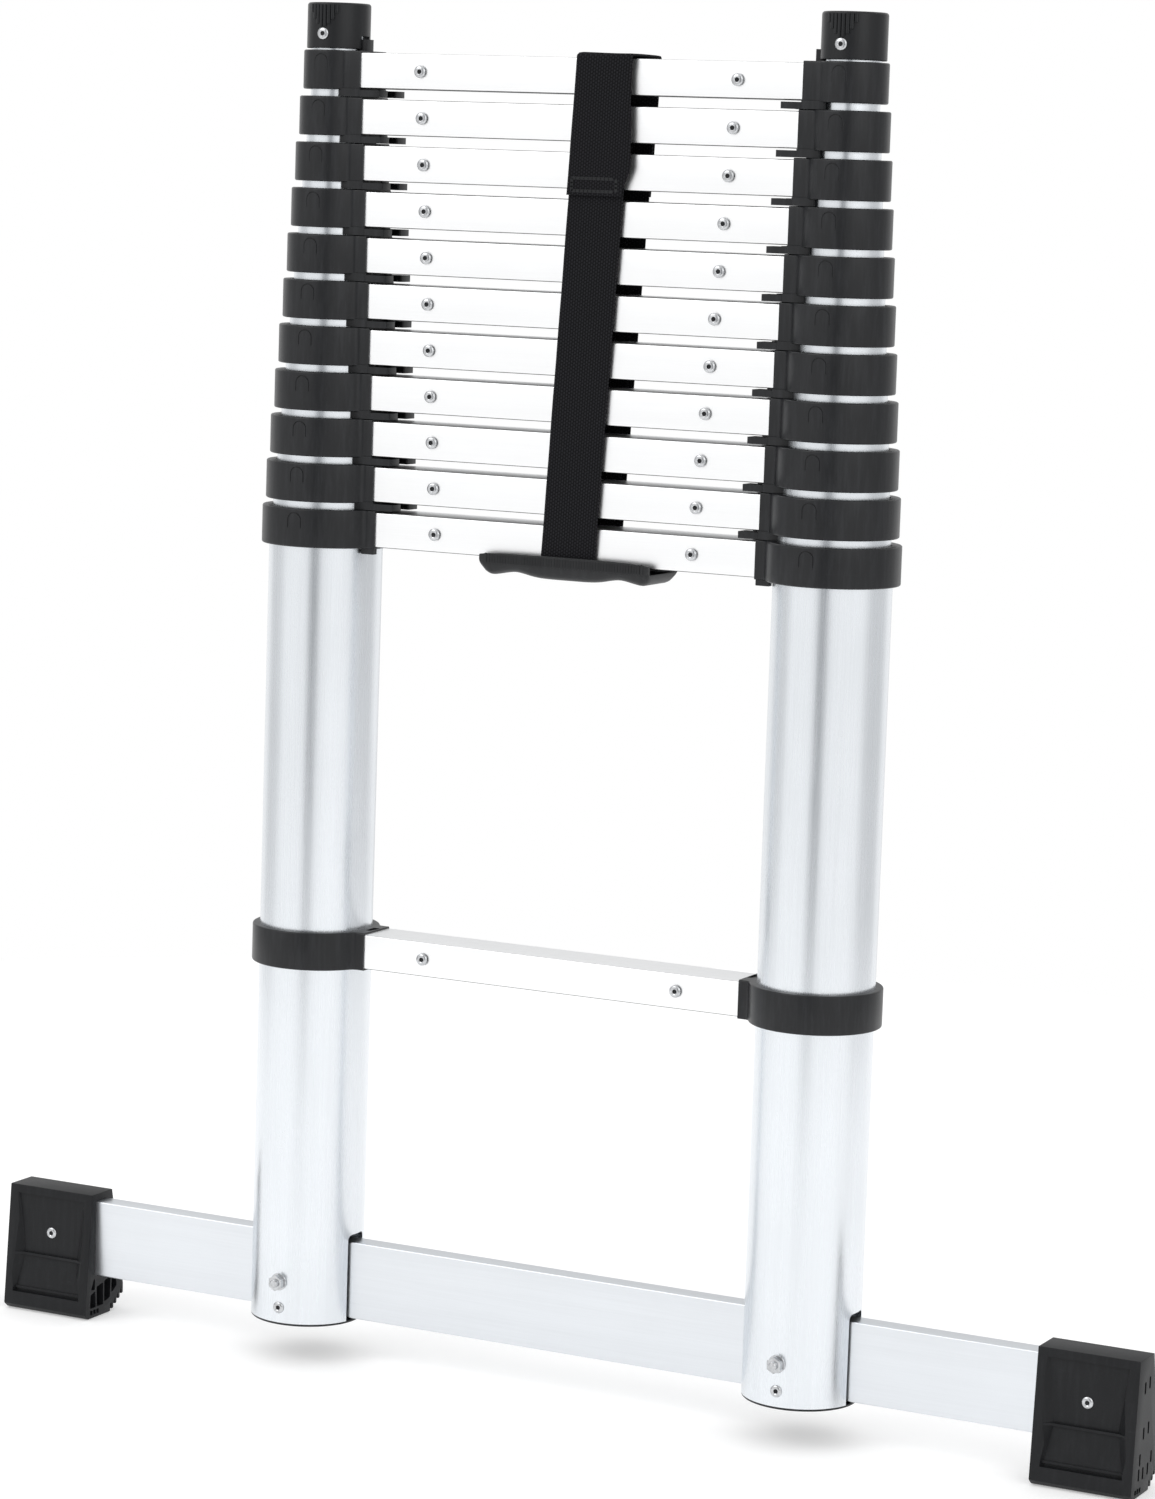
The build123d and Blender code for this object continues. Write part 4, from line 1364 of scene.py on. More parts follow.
@dataclass
class Fasteners:
    """Blind rivets, lock pins with their springs, and the bolts of the bar, in millimetres."""

    finishes: Finishes
    shop: Workshop
    head_radius: float = 4.3
    head_height: float = 1.4
    body_radius: float = 2.4
    hole_radius: float = 1.5
    setback: float = 47.5
    pin_radius: float = 4.8
    pin_length: float = 45.0
    pin_setback: float = 1.0
    spring_radius: float = 3.8
    spring_wire: float = 0.45
    spring_turns: float = 5.0
    plug_length: float = 56.0
    plug_end: float = 3.0
    spring_gap: float = 1.2
    cap_wall: float = 3.4
    cap_rivet_lift: float = 11.2
    plug_rivet_z: float = 41.0
    panel_step: float = 2.3
    nut_half_flats: float = 5.0
    nut_height: float = 5.0
    washer_radius: float = 6.2
    washer_height: float = 1.2
    bolt_radius: float = 3.0
    bolt_tail: float = 2.6
    bolt_head: float = 4.0

    def rivet(self) -> Solid:
        """A domed rivet with the pulled mandrel's hole, standing on the XY plane."""
        profile = [
            (self.body_radius, -3.0),
            (self.body_radius, 0.0),
            (self.head_radius, 0.0),
            (self.head_radius, 0.3),
            (0.96 * self.head_radius, 0.62),
            (0.86 * self.head_radius, 1.0),
            (0.7 * self.head_radius, 0.92 * self.head_height),
            (0.52 * self.head_radius, self.head_height),
            (1.35 * self.hole_radius, 0.93 * self.head_height),
            (1.06 * self.hole_radius, 0.7 * self.head_height),
            (self.hole_radius, 0.3 * self.head_height),
            (self.hole_radius, -2.4),
            (0.55 * self.hole_radius, -2.1),
        ]
        return Solid().revolve(profile, (0, 0, 0), segments=22)

    def mandrel(self) -> Solid:
        """The broken stem down in a rivet's hole."""
        radius = 0.97 * self.hole_radius
        profile = [(radius, -2.0), (radius, 0.3), (0.5 * radius, 0.55 * self.head_height), (0.2, 0.4)]
        return Solid().revolve(profile, (0, 0, 0), segments=18)

    def stems(self, name: str, section: int, seats: Sequence[Seat]) -> None:
        """Sets broken stem shapes in the rivets of a body, in black plastic, as painted shade in the holes.
        """
        # Painted shade: the stem shapes take the near-black cap plastic rather than steel, so each rivet hole
        # reads dark.
        stems = self.shop.set_shapes(name + "_stems", self.mandrel(), seats, self.finishes.cap)
        enrol(stems, body_name(section), "fastener", self.finishes.cap)

    def rows(self, half_x: float, height: float, face_y: float, sides: Iterable[float]) -> list[Seat]:
        """Seats left and right on the front, the back or both."""
        return [Seat((x, side * face_y, height), (0, side, 0)) for side in sides for x in (-half_x, half_x)]

    def springs(self, name: str, section: int) -> bpy.types.Object:
        """Winds the two springs behind a section's lock pins."""
        stile = Stile(section)
        low, high = limits(section_node(section, "rung"))
        end = high.x - self.plug_length + self.plug_end + self.spring_gap
        tail = stile.x - stile.radius + self.pin_setback - self.pin_length
        length = tail - end - self.spring_gap / 2
        height = (low.z + high.z) / 2
        seats = [Seat((x, 0, height), (0, 0, 1)) for x in (end, -end - length)]
        return self.shop.coils.run(
            self.shop.points(name, seats),
            {
                "Turns": self.spring_turns,
                "Radius": self.spring_radius * MM,
                "Length": length * MM,
                "Wire": self.spring_wire * MM,
                "Material": self.finishes.steel,
            },
        )

    def pins(self, name: str, section: int) -> bpy.types.Object:
        """Turns the two lock pins of a section, drawn back."""
        stile = Stile(section)
        low, high = limits(section_node(section, "rung"))
        tip = stile.x - stile.radius + self.pin_setback
        r, c = self.pin_radius, self.pin_setback
        profile = [(r - 0.3, 0.0), (r, 0.3), (r, self.pin_length - c), (r - c, self.pin_length)]
        origin = (tip - self.pin_length, 0, (low.z + high.z) / 2)
        return mesh_object(name, Solid().revolve(profile, origin, (1, 0, 0), 28).both_sides())

    def of_section(self, section: int) -> bpy.types.Object:
        """Makes a section's rivets, lock pins and springs.

        Args:
            section: The section; 0 is the base.

        Returns:
            The object.
        """
        node = section_node(section, "fittings")
        low, high = limits(section_node(section, "rung"))
        seats = self.rows(high.x - self.setback, (low.z + high.z) / 2, high.y, (FRONT, BACK))
        if section == SECTIONS:
            stile = Stile(section)
            seats += self.rows(stile.x, high.z + self.cap_rivet_lift, stile.radius + self.cap_wall, (FRONT,))
        parts = [self.shop.set_shapes(node + "_rivets", self.rivet(), seats, self.finishes.steel, True)]
        if section < SECTIONS:
            parts.append(self.pins(node + "_pins", section))
            parts.append(self.springs(node + "_springs", section))
        self.stems(node, section, seats)
        obj = joined(node + "_turned", parts)
        return enrol(obj, body_name(section), "fastener", self.finishes.steel, node)

    def of_base(self) -> bpy.types.Object:
        """Makes the rivets of the middle rung, the tube plugs and the feet."""
        low, high = limits("middle_rung")
        seats = self.rows(high.x - self.setback, (low.z + high.z) / 2, high.y, (FRONT, BACK))
        stile = Stile(0)
        seats += self.rows(stile.x, self.plug_rivet_z, stile.radius, (FRONT,))
        bar_low, bar_high = limits("stabiliser_bar")
        foot_low, foot_high = limits("foot_right")
        foot_x = (foot_low.x + foot_high.x) / 2
        seats += self.rows(foot_x, (bar_low.z + bar_high.z) / 2, bar_high.y + self.panel_step, (FRONT,))
        self.stems("base_rivets", 0, seats)
        obj = self.shop.set_shapes("base_rivets_turned", self.rivet(), seats, self.finishes.steel, True)
        return enrol(obj, "base", "fastener", self.finishes.steel, "base_rivets")

    def hexagon(self, start: float, height: float, place: Callable[[float, float, float], Point]) -> Solid:
        """A nut or bolt head with chamfered corners."""
        half = self.nut_half_flats
        limit = half * 1.06
        corner = half / math.cos(math.pi / 6)
        chamfer = (corner - limit) * 0.7
        rings = []
        for depth, most in ((0.0, limit), (chamfer, corner), (height - chamfer, corner), (height, limit)):
            ring = []
            for k in range(48):
                angle = 2 * math.pi * k / 48
                flat = half / math.cos((angle + math.pi / 6) % (math.pi / 3) - math.pi / 6)
                reach = min(flat, most)
                ring.append(place(reach * math.cos(angle), reach * math.sin(angle), start + depth))
            rings.append(ring)
        return Solid().loft(rings)

    def bolts(self) -> bpy.types.Object:
        """Makes the two bolts that pin the bar, with nuts in front and heads behind."""
        stile = Stile(0)
        bar_low, bar_high = limits("stabiliser_bar")
        height = (bar_low.z + bar_high.z) / 2
        solid = Solid()
        for side, top in ((FRONT, self.nut_height), (BACK, self.bolt_head)):
            face = side * stile.radius
            rim = [(self.washer_radius - 0.25, 0.0), (self.washer_radius, 0.25)]
            rim += [(self.washer_radius, self.washer_height - 0.25)]
            rim += [(self.washer_radius - 0.25, self.washer_height)]
            solid.revolve(rim, (stile.x, face, height), (0, side, 0), 32)
            solid.add(self.hexagon(
                self.washer_height, top,
                lambda a, b, d, side=side, face=face: (stile.x + a, face + side * d, height + b),
            ))
        tip = stile.radius + self.washer_height + self.nut_height + self.bolt_tail
        r = self.bolt_radius
        thread = [(r - 0.1 - 0.22 * (k % 2), tip - 0.6 - 0.5 * k) for k in reversed(range(18))]
        shank = [(r, -stile.radius), (r, tip - 10.0), *thread, (r - 0.8, tip)]
        solid.revolve(shank, (stile.x, 0, height), (0, -1, 0), 24)
        obj = mesh_object("stabiliser_bolts_turned", solid.both_sides())
        return enrol(obj, "base", "fastener", self.finishes.steel, "stabiliser_bolts")


# ---- feet, tube plugs, end caps --------------------------------------------------------------


@dataclass
class Feet:
    """The moulded feet: a hood over the bar's end, a framed front and a stepped heel."""

    finishes: Finishes
    shop: Workshop
    top_half: float = 13.5
    front_bottom: float = 20.5
    front_lift: float = 4.0
    flat_front: float = 16.0
    flat_back: float = 14.0
    heel_back: float = 31.0
    heel_lift: float = 12.0
    teeth: int = 4
    tooth_gap: float = 1.4
    edge: float = 1.3
    panel_y: float = 12.3
    border: float = 7.0
    sill: float = 13.5
    top_border: float = 6.0
    ledge_high: float = 43.0
    ledge_low: float = 17.6
    ledge: float = 1.8
    groove_depth: float = 1.2
    upper_step: float = 2.4
    lower_step: float = 2.2
    slope_step: float = 0.9
    top_lean: float = 0.6
    upper_lean: float = 6.5
    ledge_lean: float = 5.2
    slope_lean: float = 6.2
    sill_lean: float = 1.0
    groove_lean: float = 1.2
    overcut: float = 4.0
    least_depth: float = 0.2
    fit: float = 0.2
    seat_corner: float = 3.0
    cell_corner: float = 0.6
    cell_depth: float = 52.0
    slot_depth: float = 2.6
    slot_half: Flat = (3.6, 0.85)
    slot_corner: float = 0.4
    sole_slots: int = 3
    sole_slot_first: float = -12.0
    sole_slot_pitch: float = 4.2
    sole_slot_z: float = 4.2
    sole_slot_scale: Point = (0.42, 1.1, 1.0)
    slots: tuple[Flat, ...] = (
        (-1.7, 73.0), (7.0, 75.0), (8.0, 44.0), (-1.0, 42.0), (16.0, 22.5),
        (-6.0, 25.0), (-7.0, 15.0), (1.0, 14.5), (10.0, 15.5),
    )
    cells: tuple[tuple[Flat, ...], ...] = (
        ((-12.5, 21.5), (-8.2, 21.5), (-8.2, 31.0)),
        ((-13.5, 8.0), (-6.5, 8.0), (-7.5, 19.5), (-13.0, 17.5)),
        ((-4.5, 8.0), (3.5, 8.0), (3.0, 24.0), (-5.0, 22.5)),
        ((5.5, 9.5), (12.5, 11.5), (13.0, 26.5), (5.2, 25.0)),
        ((15.0, 14.5), (21.5, 18.5), (20.0, 27.5), (15.2, 27.0)),
    )

    def front(self, height: float, top: float) -> float:
        """The Y of the sloping front at a height."""
        share = (height - self.front_lift) / (top - self.front_lift)
        return -(self.front_bottom + (self.top_half - self.front_bottom) * share)

    def outline(self, top: float) -> list[Flat]:
        """The foot's side view, as Y and Z."""
        step_back = (self.heel_back - self.flat_back) / self.teeth
        step_lift = self.heel_lift / self.teeth
        points = [(-self.top_half, top), (self.top_half, top), (self.heel_back, self.heel_lift + 6.0)]
        for step in reversed(range(self.teeth)):
            back = self.flat_back + (step + 1) * step_back
            base = step * step_lift
            if step < self.teeth - 1:
                points.append((back, base + 2 * step_lift))
            points += [(back, base + step_lift * 0.8), (back - 0.8, base + step_lift / 2)]
            front = back - step_back + self.tooth_gap
            points += [(front + 0.6, base + step_lift / 2), (front, base + step_lift * 0.75)]
            points.append((front, base + 2 * step_lift))
        points += [(self.flat_back, 2 * step_lift), (self.flat_back, 0.8), (self.flat_back - 0.8, 0.0)]
        points += [(-self.flat_front, 0.0), (-self.front_bottom + 0.6, self.front_lift - 0.8)]
        points.append((-self.front_bottom, self.front_lift))
        return points

    def dish(self, low: float, high: float, deep: tuple[float, float], pinch: tuple[float, float],
             span: Flat, top: float) -> Solid:
        """A cut into the front between two heights, whose floor and sides may slope.

        Args:
            low: The lower height.
            high: The upper height.
            deep: The floor's Y at the lower and upper heights.
            pinch: How far the sides lean in at the floor, at the two heights.
            span: The cut's left and right X at the front face.
            top: The foot's top.

        Returns:
            The solid to cut out.
        """
        rings = []
        for height, floor, lean in ((low, deep[0], pinch[0]), (high, deep[1], pinch[1])):
            face = self.front(height, top)
            mouth = face - self.overcut
            out = (mouth - floor) / (face - floor) if abs(face - floor) > self.least_depth else 1.0
            spread = lean * (1 - out)
            rings.append([
                (span[0] + lean, floor, height),
                (span[1] - lean, floor, height),
                (span[1] - spread, mouth, height),
                (span[0] + spread, mouth, height),
            ])
        return Solid().loft(rings)

    def make(self, side: float) -> bpy.types.Object:
        """Makes one foot.

        Args:
            side: LEFT or RIGHT.

        Returns:
            The object.
        """
        low, high = limits("foot_right")
        bar_low, bar_high = limits("stabiliser_bar")
        top = high.z
        body = mesh_object("foot_body", Solid().prism(
            self.outline(top), lambda a, b, depth: (depth, a, b), low.x, high.x
        ))
        ease_edges(body, self.edge, 3)
        span = (low.x + self.border, high.x - self.border)
        upper, lower = self.ledge_high, self.ledge_low
        floor = -self.panel_y
        lip_high = floor - self.upper_step
        lip_low = self.front(lower, top) + self.lower_step
        slope = (lip_low + self.slope_step, floor - self.top_lean)
        cuts = [
            (upper, top - self.top_border, (floor, floor), (self.upper_lean, self.top_lean)),
            (upper - self.ledge, upper, (lip_high, lip_high), (self.ledge_lean,) * 2),
            (lower, upper - self.ledge, slope, (self.sill_lean, self.slope_lean)),
            (lower - self.ledge, lower, (lip_low, lip_low), (self.sill_lean,) * 2),
            (self.sill, lower - self.ledge, (lip_low + self.groove_depth,) * 2, (self.groove_lean,) * 2),
        ]
        for bottom, ceiling, deep, pinch in cuts:
            carve(body, self.dish(bottom, ceiling, deep, pinch, span, top))
        seat = rectangle(
            2 * (bar_high.y + self.fit), bar_high.z - bar_low.z + 2 * self.fit,
            (0.0, (bar_low.z + bar_high.z) / 2),
        )
        mouth = low.x - 1.0
        cut = Solid()
        cut.loft([
            [(x, y, z) for y, z in rounded(seat, self.seat_corner)] for x in (mouth, bar_high.x + self.fit)
        ])
        for corners in self.cells:
            outline = rounded(corners, self.cell_corner, 3)
            cut.prism(outline, lambda a, b, depth: (depth, a, b), mouth, low.x + self.cell_depth)
        carve(body, cut)
        x, y, z = (*self.slot_half, self.slot_depth)
        slot = Solid().block((-x, -y, -z), (x, y, z), self.slot_corner, 2)
        seats = [Seat((high.x, y, z), (1, 0, 0)) for y, z in self.slots]
        seats += [
            Seat((x, self.sole_slot_first + self.sole_slot_pitch * k, self.sole_slot_z), (1, 0, 0),
                 self.sole_slot_scale)
            for k in range(self.sole_slots) for x in (low.x, high.x)
        ]
        cutter = self.shop.set_shapes("foot_slots", slot, seats, self.finishes.foot)
        tool = body.modifiers.new("slots", "BOOLEAN")
        tool.operation, tool.solver, tool.object = "DIFFERENCE", "EXACT", cutter
        settle(body)
        bpy.data.objects.remove(cutter)
        name = "right" if side == RIGHT else "left"
        body.name = f"foot_{name}_moulded"
        if side == LEFT:
            body.data.transform(Matrix.Scale(-1, 4, (1, 0, 0)))
            body.data.flip_normals()
        soften(body)
        return enrol(body, "base", "foot", self.finishes.foot, f"foot_{name}")


@dataclass
class Caps:
    """The plugs under the base tubes and the end caps on top, in millimetres."""

    finishes: Finishes
    shop: Workshop
    plug_lip: float = 0.6
    plug_fit: float = 0.2
    wall: float = 3.4
    top_wall: float = 3.5
    edge: float = 2.0
    notch_height: float = 9.0
    notch_half: float = 5.1
    rib_count: int = 8
    rib_pitch: float = 7.2
    rib_width: float = 1.3
    rib_proud: float = 0.55
    rib_longest: float = 15.0
    rib_edge: float = 0.25
    segments: int = 72
    plug_segments: int = 96
    plug_inset: float = 1.5
    plug_gap: float = 0.5
    arc_steps: int = 32
    curve_steps: int = 5
    foot_chamfer: float = 0.4
    hub: float = 2.0

    def plugs(self) -> bpy.types.Object:
        """Makes the plugs that close the base tubes below."""
        stile = Stile(0)
        low, high = limits("tube_plugs")
        bar_high = limits("stabiliser_bar")[1]
        rim = stile.radius - self.plug_fit
        profile = [(rim - self.plug_lip, low.z), (rim, low.z + self.plug_lip), (rim, stile.bottom)]
        solid = Solid().revolve(profile, (stile.x, 0, 0), segments=self.plug_segments)
        inner = rim - self.plug_inset
        half = bar_high.y + self.plug_gap
        start = math.asin(half / inner)
        for side in (FRONT, BACK):
            arc = [start + (math.pi - 2 * start) * k / self.arc_steps for k in range(self.arc_steps + 1)]
            outline = [(stile.x + inner * math.cos(t), side * inner * math.sin(t)) for t in arc]
            solid.prism(outline, lambda a, b, depth: (a, b, depth), stile.bottom, high.z)
        plugs = mesh_object("tube_plugs_moulded", solid.both_sides())
        return enrol(plugs, "base", "plug", self.finishes.cap, "tube_plugs")

    def ends(self) -> bpy.types.Object:
        """Makes the end caps, each with a fan of grip ribs on its front."""
        stile = Stile(SECTIONS)
        low, high = limits("end_caps")
        outer = stile.radius + self.wall
        turns = [math.pi / 2 * k / self.curve_steps for k in range(self.curve_steps + 1)]
        centre = (outer - self.edge, high.z - self.edge)
        curve = [(centre[0] + self.edge * math.cos(t), centre[1] + self.edge * math.sin(t)) for t in turns]
        chamfer, hub, count = self.foot_chamfer, self.hub, self.segments
        profile = [(outer - chamfer, low.z), (outer, low.z + chamfer), *curve, (hub, high.z)]
        inside = high.z - self.top_wall
        profile += [(hub, inside), (stile.radius, inside), (stile.radius, low.z)]
        rings = []
        for radius, height in profile:
            rings.append([(x, y, height) for x, y in circle(radius, count, (stile.x, 0.0))])
        solid = Solid()
        split = len(curve) + 3
        solid.loft(rings[:split], capped=False)
        solid.faces.append(tuple((split - 1) * count + k for k in range(count)))
        base = len(solid.points)
        solid.loft(rings[split:], capped=False)
        solid.faces.append(tuple(base + k for k in range(count)))
        last = base + (len(rings) - split - 1) * count
        for k in range(count):
            n = (k + 1) % count
            solid.faces.append((k, n, last + n, last + k))
        body = mesh_object("end_caps_shell", solid.both_sides())
        notch = Solid().block(
            (stile.x - outer - 2.0, -self.notch_half, low.z - 4.0),
            (stile.x - stile.radius + 1.0, self.notch_half, low.z + self.notch_height), 0.8,
        )
        carve(body, notch.both_sides())
        rib = Solid().block(
            (-self.rib_width / 2, -self.rib_proud, -0.5), (self.rib_width / 2, self.rib_proud, 0.5),
            self.rib_edge, 2,
        )
        seats = []
        for centre in (-stile.x, stile.x):
            for k in range(self.rib_count):
                offset = k - (self.rib_count - 1) / 2
                angle = offset * self.rib_pitch
                share = math.cos(math.pi / 2 * offset / (self.rib_count / 2 + 0.6))
                length = self.rib_longest * share
                x, y, _ = turn((0.0, -outer, 0.0), angle)
                at = (centre + x, y, high.z - 0.8 * self.edge - length / 2)
                seats.append(Seat(at, (0, 0, 1), (1.0, 1.0, length), math.radians(angle)))
        ribs = self.shop.set_shapes("end_cap_ribs", rib, seats, self.finishes.cap)
        obj = joined("end_caps_moulded", [body, ribs])
        return enrol(obj, body_name(SECTIONS), "cap", self.finishes.cap, "end_caps")


# ---- carry handle and strap ------------------------------------------------------------------


@dataclass
class Handle:
    """The moulded carry handle under the base rung, in millimetres."""

    finishes: Finishes
    shop: Workshop
    wall: float = 3.2
    floor_gap: float = 2.8
    stations: int = 84
    dip: float = 3.2
    dip_at: float = 40.0
    dip_width: float = 13.0
    tip: float = 9.0
    rib_pitch: float = 2.1
    rib_width: float = 1.0
    rib_height: float = 5.6
    rib_sunk: float = 0.35
    rib_proud: float = 0.3
    rib_edge: float = 0.22
    rib_margin: float = 4.0
    rib_drop: float = 1.3
    relief: float = 0.45
    least_floor: float = 0.8
    end_drop: float = 1.6
    end_power: int = 6
    under_depth: float = 8.0
    lip_straight: float = 3.0
    under_spread: float = 1.1
    under_steps: int = 6
    lip_edge: Flat = (0.5, 0.6)

    def underside(self, u: float, half: float, lowest: float, floor: float) -> float:
        """The height of the grip's underside at a distance from its middle."""
        hollow = self.dip * math.exp(-(((abs(u) - self.dip_at) / self.dip_width) ** 2))
        over = max(0.0, abs(u) - (half - self.tip))
        lift = self.tip - math.sqrt(max(0.0, self.tip**2 - over**2))
        return min(lowest + hollow + lift, floor - self.least_floor)

    def make(self) -> bpy.types.Object:
        """Makes the handle."""
        low, high = limits("carry_handle")
        rung_bottom = limits("base_rung")[0].z
        floor = rung_bottom - self.floor_gap
        outer, inner = high.y - self.relief, high.y - self.wall
        middle, half = (low.x + high.x) / 2, (high.x - low.x) / 2
        turns = [math.pi / 2 * k / self.under_steps for k in range(self.under_steps + 1)]
        side, drop = self.lip_edge
        rings = []
        for k in range(self.stations + 1):
            u = -half * math.cos(math.pi * k / self.stations)
            bottom = self.underside(u, half, low.z, floor)
            top = high.z - self.end_drop * (u / half) ** self.end_power
            depth = min(self.under_depth, top - bottom - self.lip_straight)
            spread = depth * self.under_spread
            under = [(-outer + spread * (1 - math.cos(t)), bottom + depth * (1 - math.sin(t))) for t in turns]
            outline = [(-outer + side, top), (-outer, top - drop), *under]
            outline += [(-y, z) for y, z in reversed(under)]
            outline += [(outer, top - drop), (outer - side, top), (inner + side, top), (inner, top - drop)]
            outline += [(inner, floor), (-inner, floor), (-inner, top - drop), (-inner - side, top)]
            rings.append([(middle + u, y, z) for y, z in outline])
        body = mesh_object("carry_handle_body", Solid().loft(rings))
        rib = Solid().block(
            (-self.rib_width / 2, -self.rib_height / 2, -self.rib_sunk),
            (self.rib_width / 2, self.rib_height / 2, self.rib_proud),
            self.rib_edge, 2,
        )
        count = int(2 * (half - self.rib_margin) / self.rib_pitch)
        height = high.z - self.rib_drop - self.rib_height / 2
        seats = [
            Seat((middle + (k - (count - 1) / 2) * self.rib_pitch, side * outer, height), (0, side, 0))
            for side in (FRONT, BACK) for k in range(count)
        ]
        ribs = self.shop.set_shapes("carry_handle_ribs", rib, seats, self.finishes.handle)
        obj = joined("carry_handle_moulded", [body, ribs])
        return enrol(obj, "base", "handle", self.finishes.handle, "carry_handle")


@dataclass
class Strap:
    """The woven carry strap, in two parts that meet at its hook-and-loop flap, in millimetres."""

    finishes: Finishes
    shop: Workshop
    width: float = 41.0
    thickness: float = 1.7
    bottom_x: float = 7.0
    lean: float = 16.0
    columns: int = 14
    spacing: float = 4.0
    bend_steps: int = 6
    selvage: float = 0.55
    ripples: tuple[Point, ...] = ((0.12, 9.0, 5.0), (0.1, 23.0, -3.0))
    skin: float = 0.1
    end_gap: float = 1.0
    lower_bend: float = 2.2
    upper_bend: float = 2.4
    across_steps: int = 8
    flap_corner: float = 19.0
    flap_corner_low: float = 5.0
    flap_fade: float = 60.0
    flap_flare: float = 5.0
    flap_tuck: float = 0.5
    squashed: float = 0.12
    seam_margin: float = 3.5
    seam_rows: Flat = (3.0, 11.5)
    seam_side_first: float = 4.5
    seam_side_pitch: float = 2.6
    seam_side_count: int = 3
    stitch_edge: float = 0.16
    stitch_gap: float = 0.12
    stitch_pitch: float = 3.1
    stitch: tuple[float, float, float] = (2.1, 0.42, 0.35)

    def middle_x(self, height: float) -> float:
        """The middle of the leaning strap at a height."""
        low = (limits("base_rung")[0].z + limits("base_rung")[1].z) / 2
        top = limits(section_node(SECTIONS, "rung"))
        share = (height - low) / ((top[0].z + top[1].z) / 2 - low)
        return self.bottom_x + self.lean * share

    def route(self, depth: float, ends: Flat, turn_at: float, corner: float) -> list[tuple[float, float]]:
        """The strap's line in Y and Z: along the front, round a rung and along the back.

        Args:
            depth: The distance of the front and back runs from the middle.
            ends: Where the line starts in front and ends behind.
            turn_at: The height of the run under or over the rung.
            corner: The radius of its two bends.

        Returns:
            The points in order.
        """
        towards = 1.0 if turn_at > ends[0] else -1.0
        bend = turn_at - towards * corner
        steps = max(2, round(abs(bend - ends[0]) / self.spacing))
        front = [(-depth, ends[0] + (bend - ends[0]) * k / steps) for k in range(steps)]
        angles = [math.pi / 2 * k / self.bend_steps for k in range(self.bend_steps + 1)]
        first = [(-depth + corner * (1 - math.cos(t)), bend + towards * corner * math.sin(t)) for t in angles]
        steps_over = self.across_steps
        flat = 2 * (depth - corner)
        across = [(-depth + corner + flat * k / steps_over, turn_at) for k in range(1, steps_over)]
        second = [(-y, z) for y, z in reversed(first)]
        back = [(depth, bend + (ends[1] - bend) * k / steps) for k in range(1, steps + 1)]
        return front + first + across + second + back

    def strip(
        self, name: str, line: Sequence[Flat], edges: Callable[[float, float], Flat]
    ) -> bpy.types.Object:
        """Weaves a strip along a line, with its "tape" attribute across and along.

        Args:
            name: The object's name.
            line: The strip's middle surface in Y and Z.
            edges: The X of its two edges at a point of the line.

        Returns:
            The object.
        """
        solid = Solid()
        rings: list[list[Point]] = []
        tape: list[Point] = []
        run = 0.0
        for index, (y, z) in enumerate(line):
            before, after = line[max(0, index - 1)], line[min(len(line) - 1, index + 1)]
            along = (Vector(after) - Vector(before)).normalized()
            out = Vector((along.y, -along.x))
            if index:
                run += (Vector(line[index]) - Vector(line[index - 1])).length
            left, right = edges(y, z)
            ring = []
            for face in (1, -1):
                for k in range(self.columns + 1):
                    share = k / self.columns if face > 0 else 1 - k / self.columns
                    edge = min(share, 1 - share) * self.columns
                    plump = self.thickness / 2 * (self.selvage if edge < 0.5 else 1.0)
                    ripple = sum(
                        height * math.sin(run / length + twist * share)
                        for height, length, twist in self.ripples
                    )
                    offset = face * plump + ripple
                    ring.append((left + (right - left) * share, y + out.x * offset, z + out.y * offset))
                    tape.append(((right - left) * share * MM, run * MM, 0.0))
            rings.append(ring)
        obj = mesh_object(name, solid.loft(rings), weld=False)
        attribute = obj.data.attributes.new("tape", "FLOAT_VECTOR", "POINT")
        for item, value in zip(attribute.data, tape):
            item.vector = value
        return obj

    def lower(self) -> bpy.types.Object:
        """Makes the part through the handle, up to behind the flap."""
        low, high = limits("strap_lower")
        depth = high.y - self.thickness / 2 - self.skin
        bottom = low.z + self.end_gap
        line = self.route(depth, (high.z, high.z), bottom, self.lower_bend)
        half = self.width / 2

        def edges(y: float, z: float) -> Flat:
            middle = self.middle_x(z)
            return (middle - half, middle + half)

        obj = self.strip("strap_lower_woven", line, edges)
        enrol(obj, "base", "webbing", self.finishes.webbing, "strap_lower")
        length = sum((Vector(b) - Vector(a)).length for a, b in zip(line, line[1:]))
        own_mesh(obj)
        return obj

    def upper(self) -> bpy.types.Object:
        """Makes the part over the top rung, with its flap and stitches."""
        low, high = limits("strap_upper")
        depth = high.y - self.thickness / 2 - self.skin
        line = self.route(depth, (low.z, low.z), high.z - self.end_gap, self.upper_bend)
        half = self.width / 2
        seam = low.z
        corner, start = self.flap_corner, self.flap_corner_low

        def edges(y: float, z: float) -> Flat:
            middle = self.middle_x(z)
            if y > -depth + self.flap_tuck:
                return (middle - half, middle + half)
            rise = z - seam
            flare = self.flap_flare * max(0.0, 1 - (rise - corner) / self.flap_fade)
            if rise < corner:
                flare = self.flap_flare * max(0.0, (rise - start) / (corner - start))
            return (middle - half - self.flap_tuck, middle + half + flare)

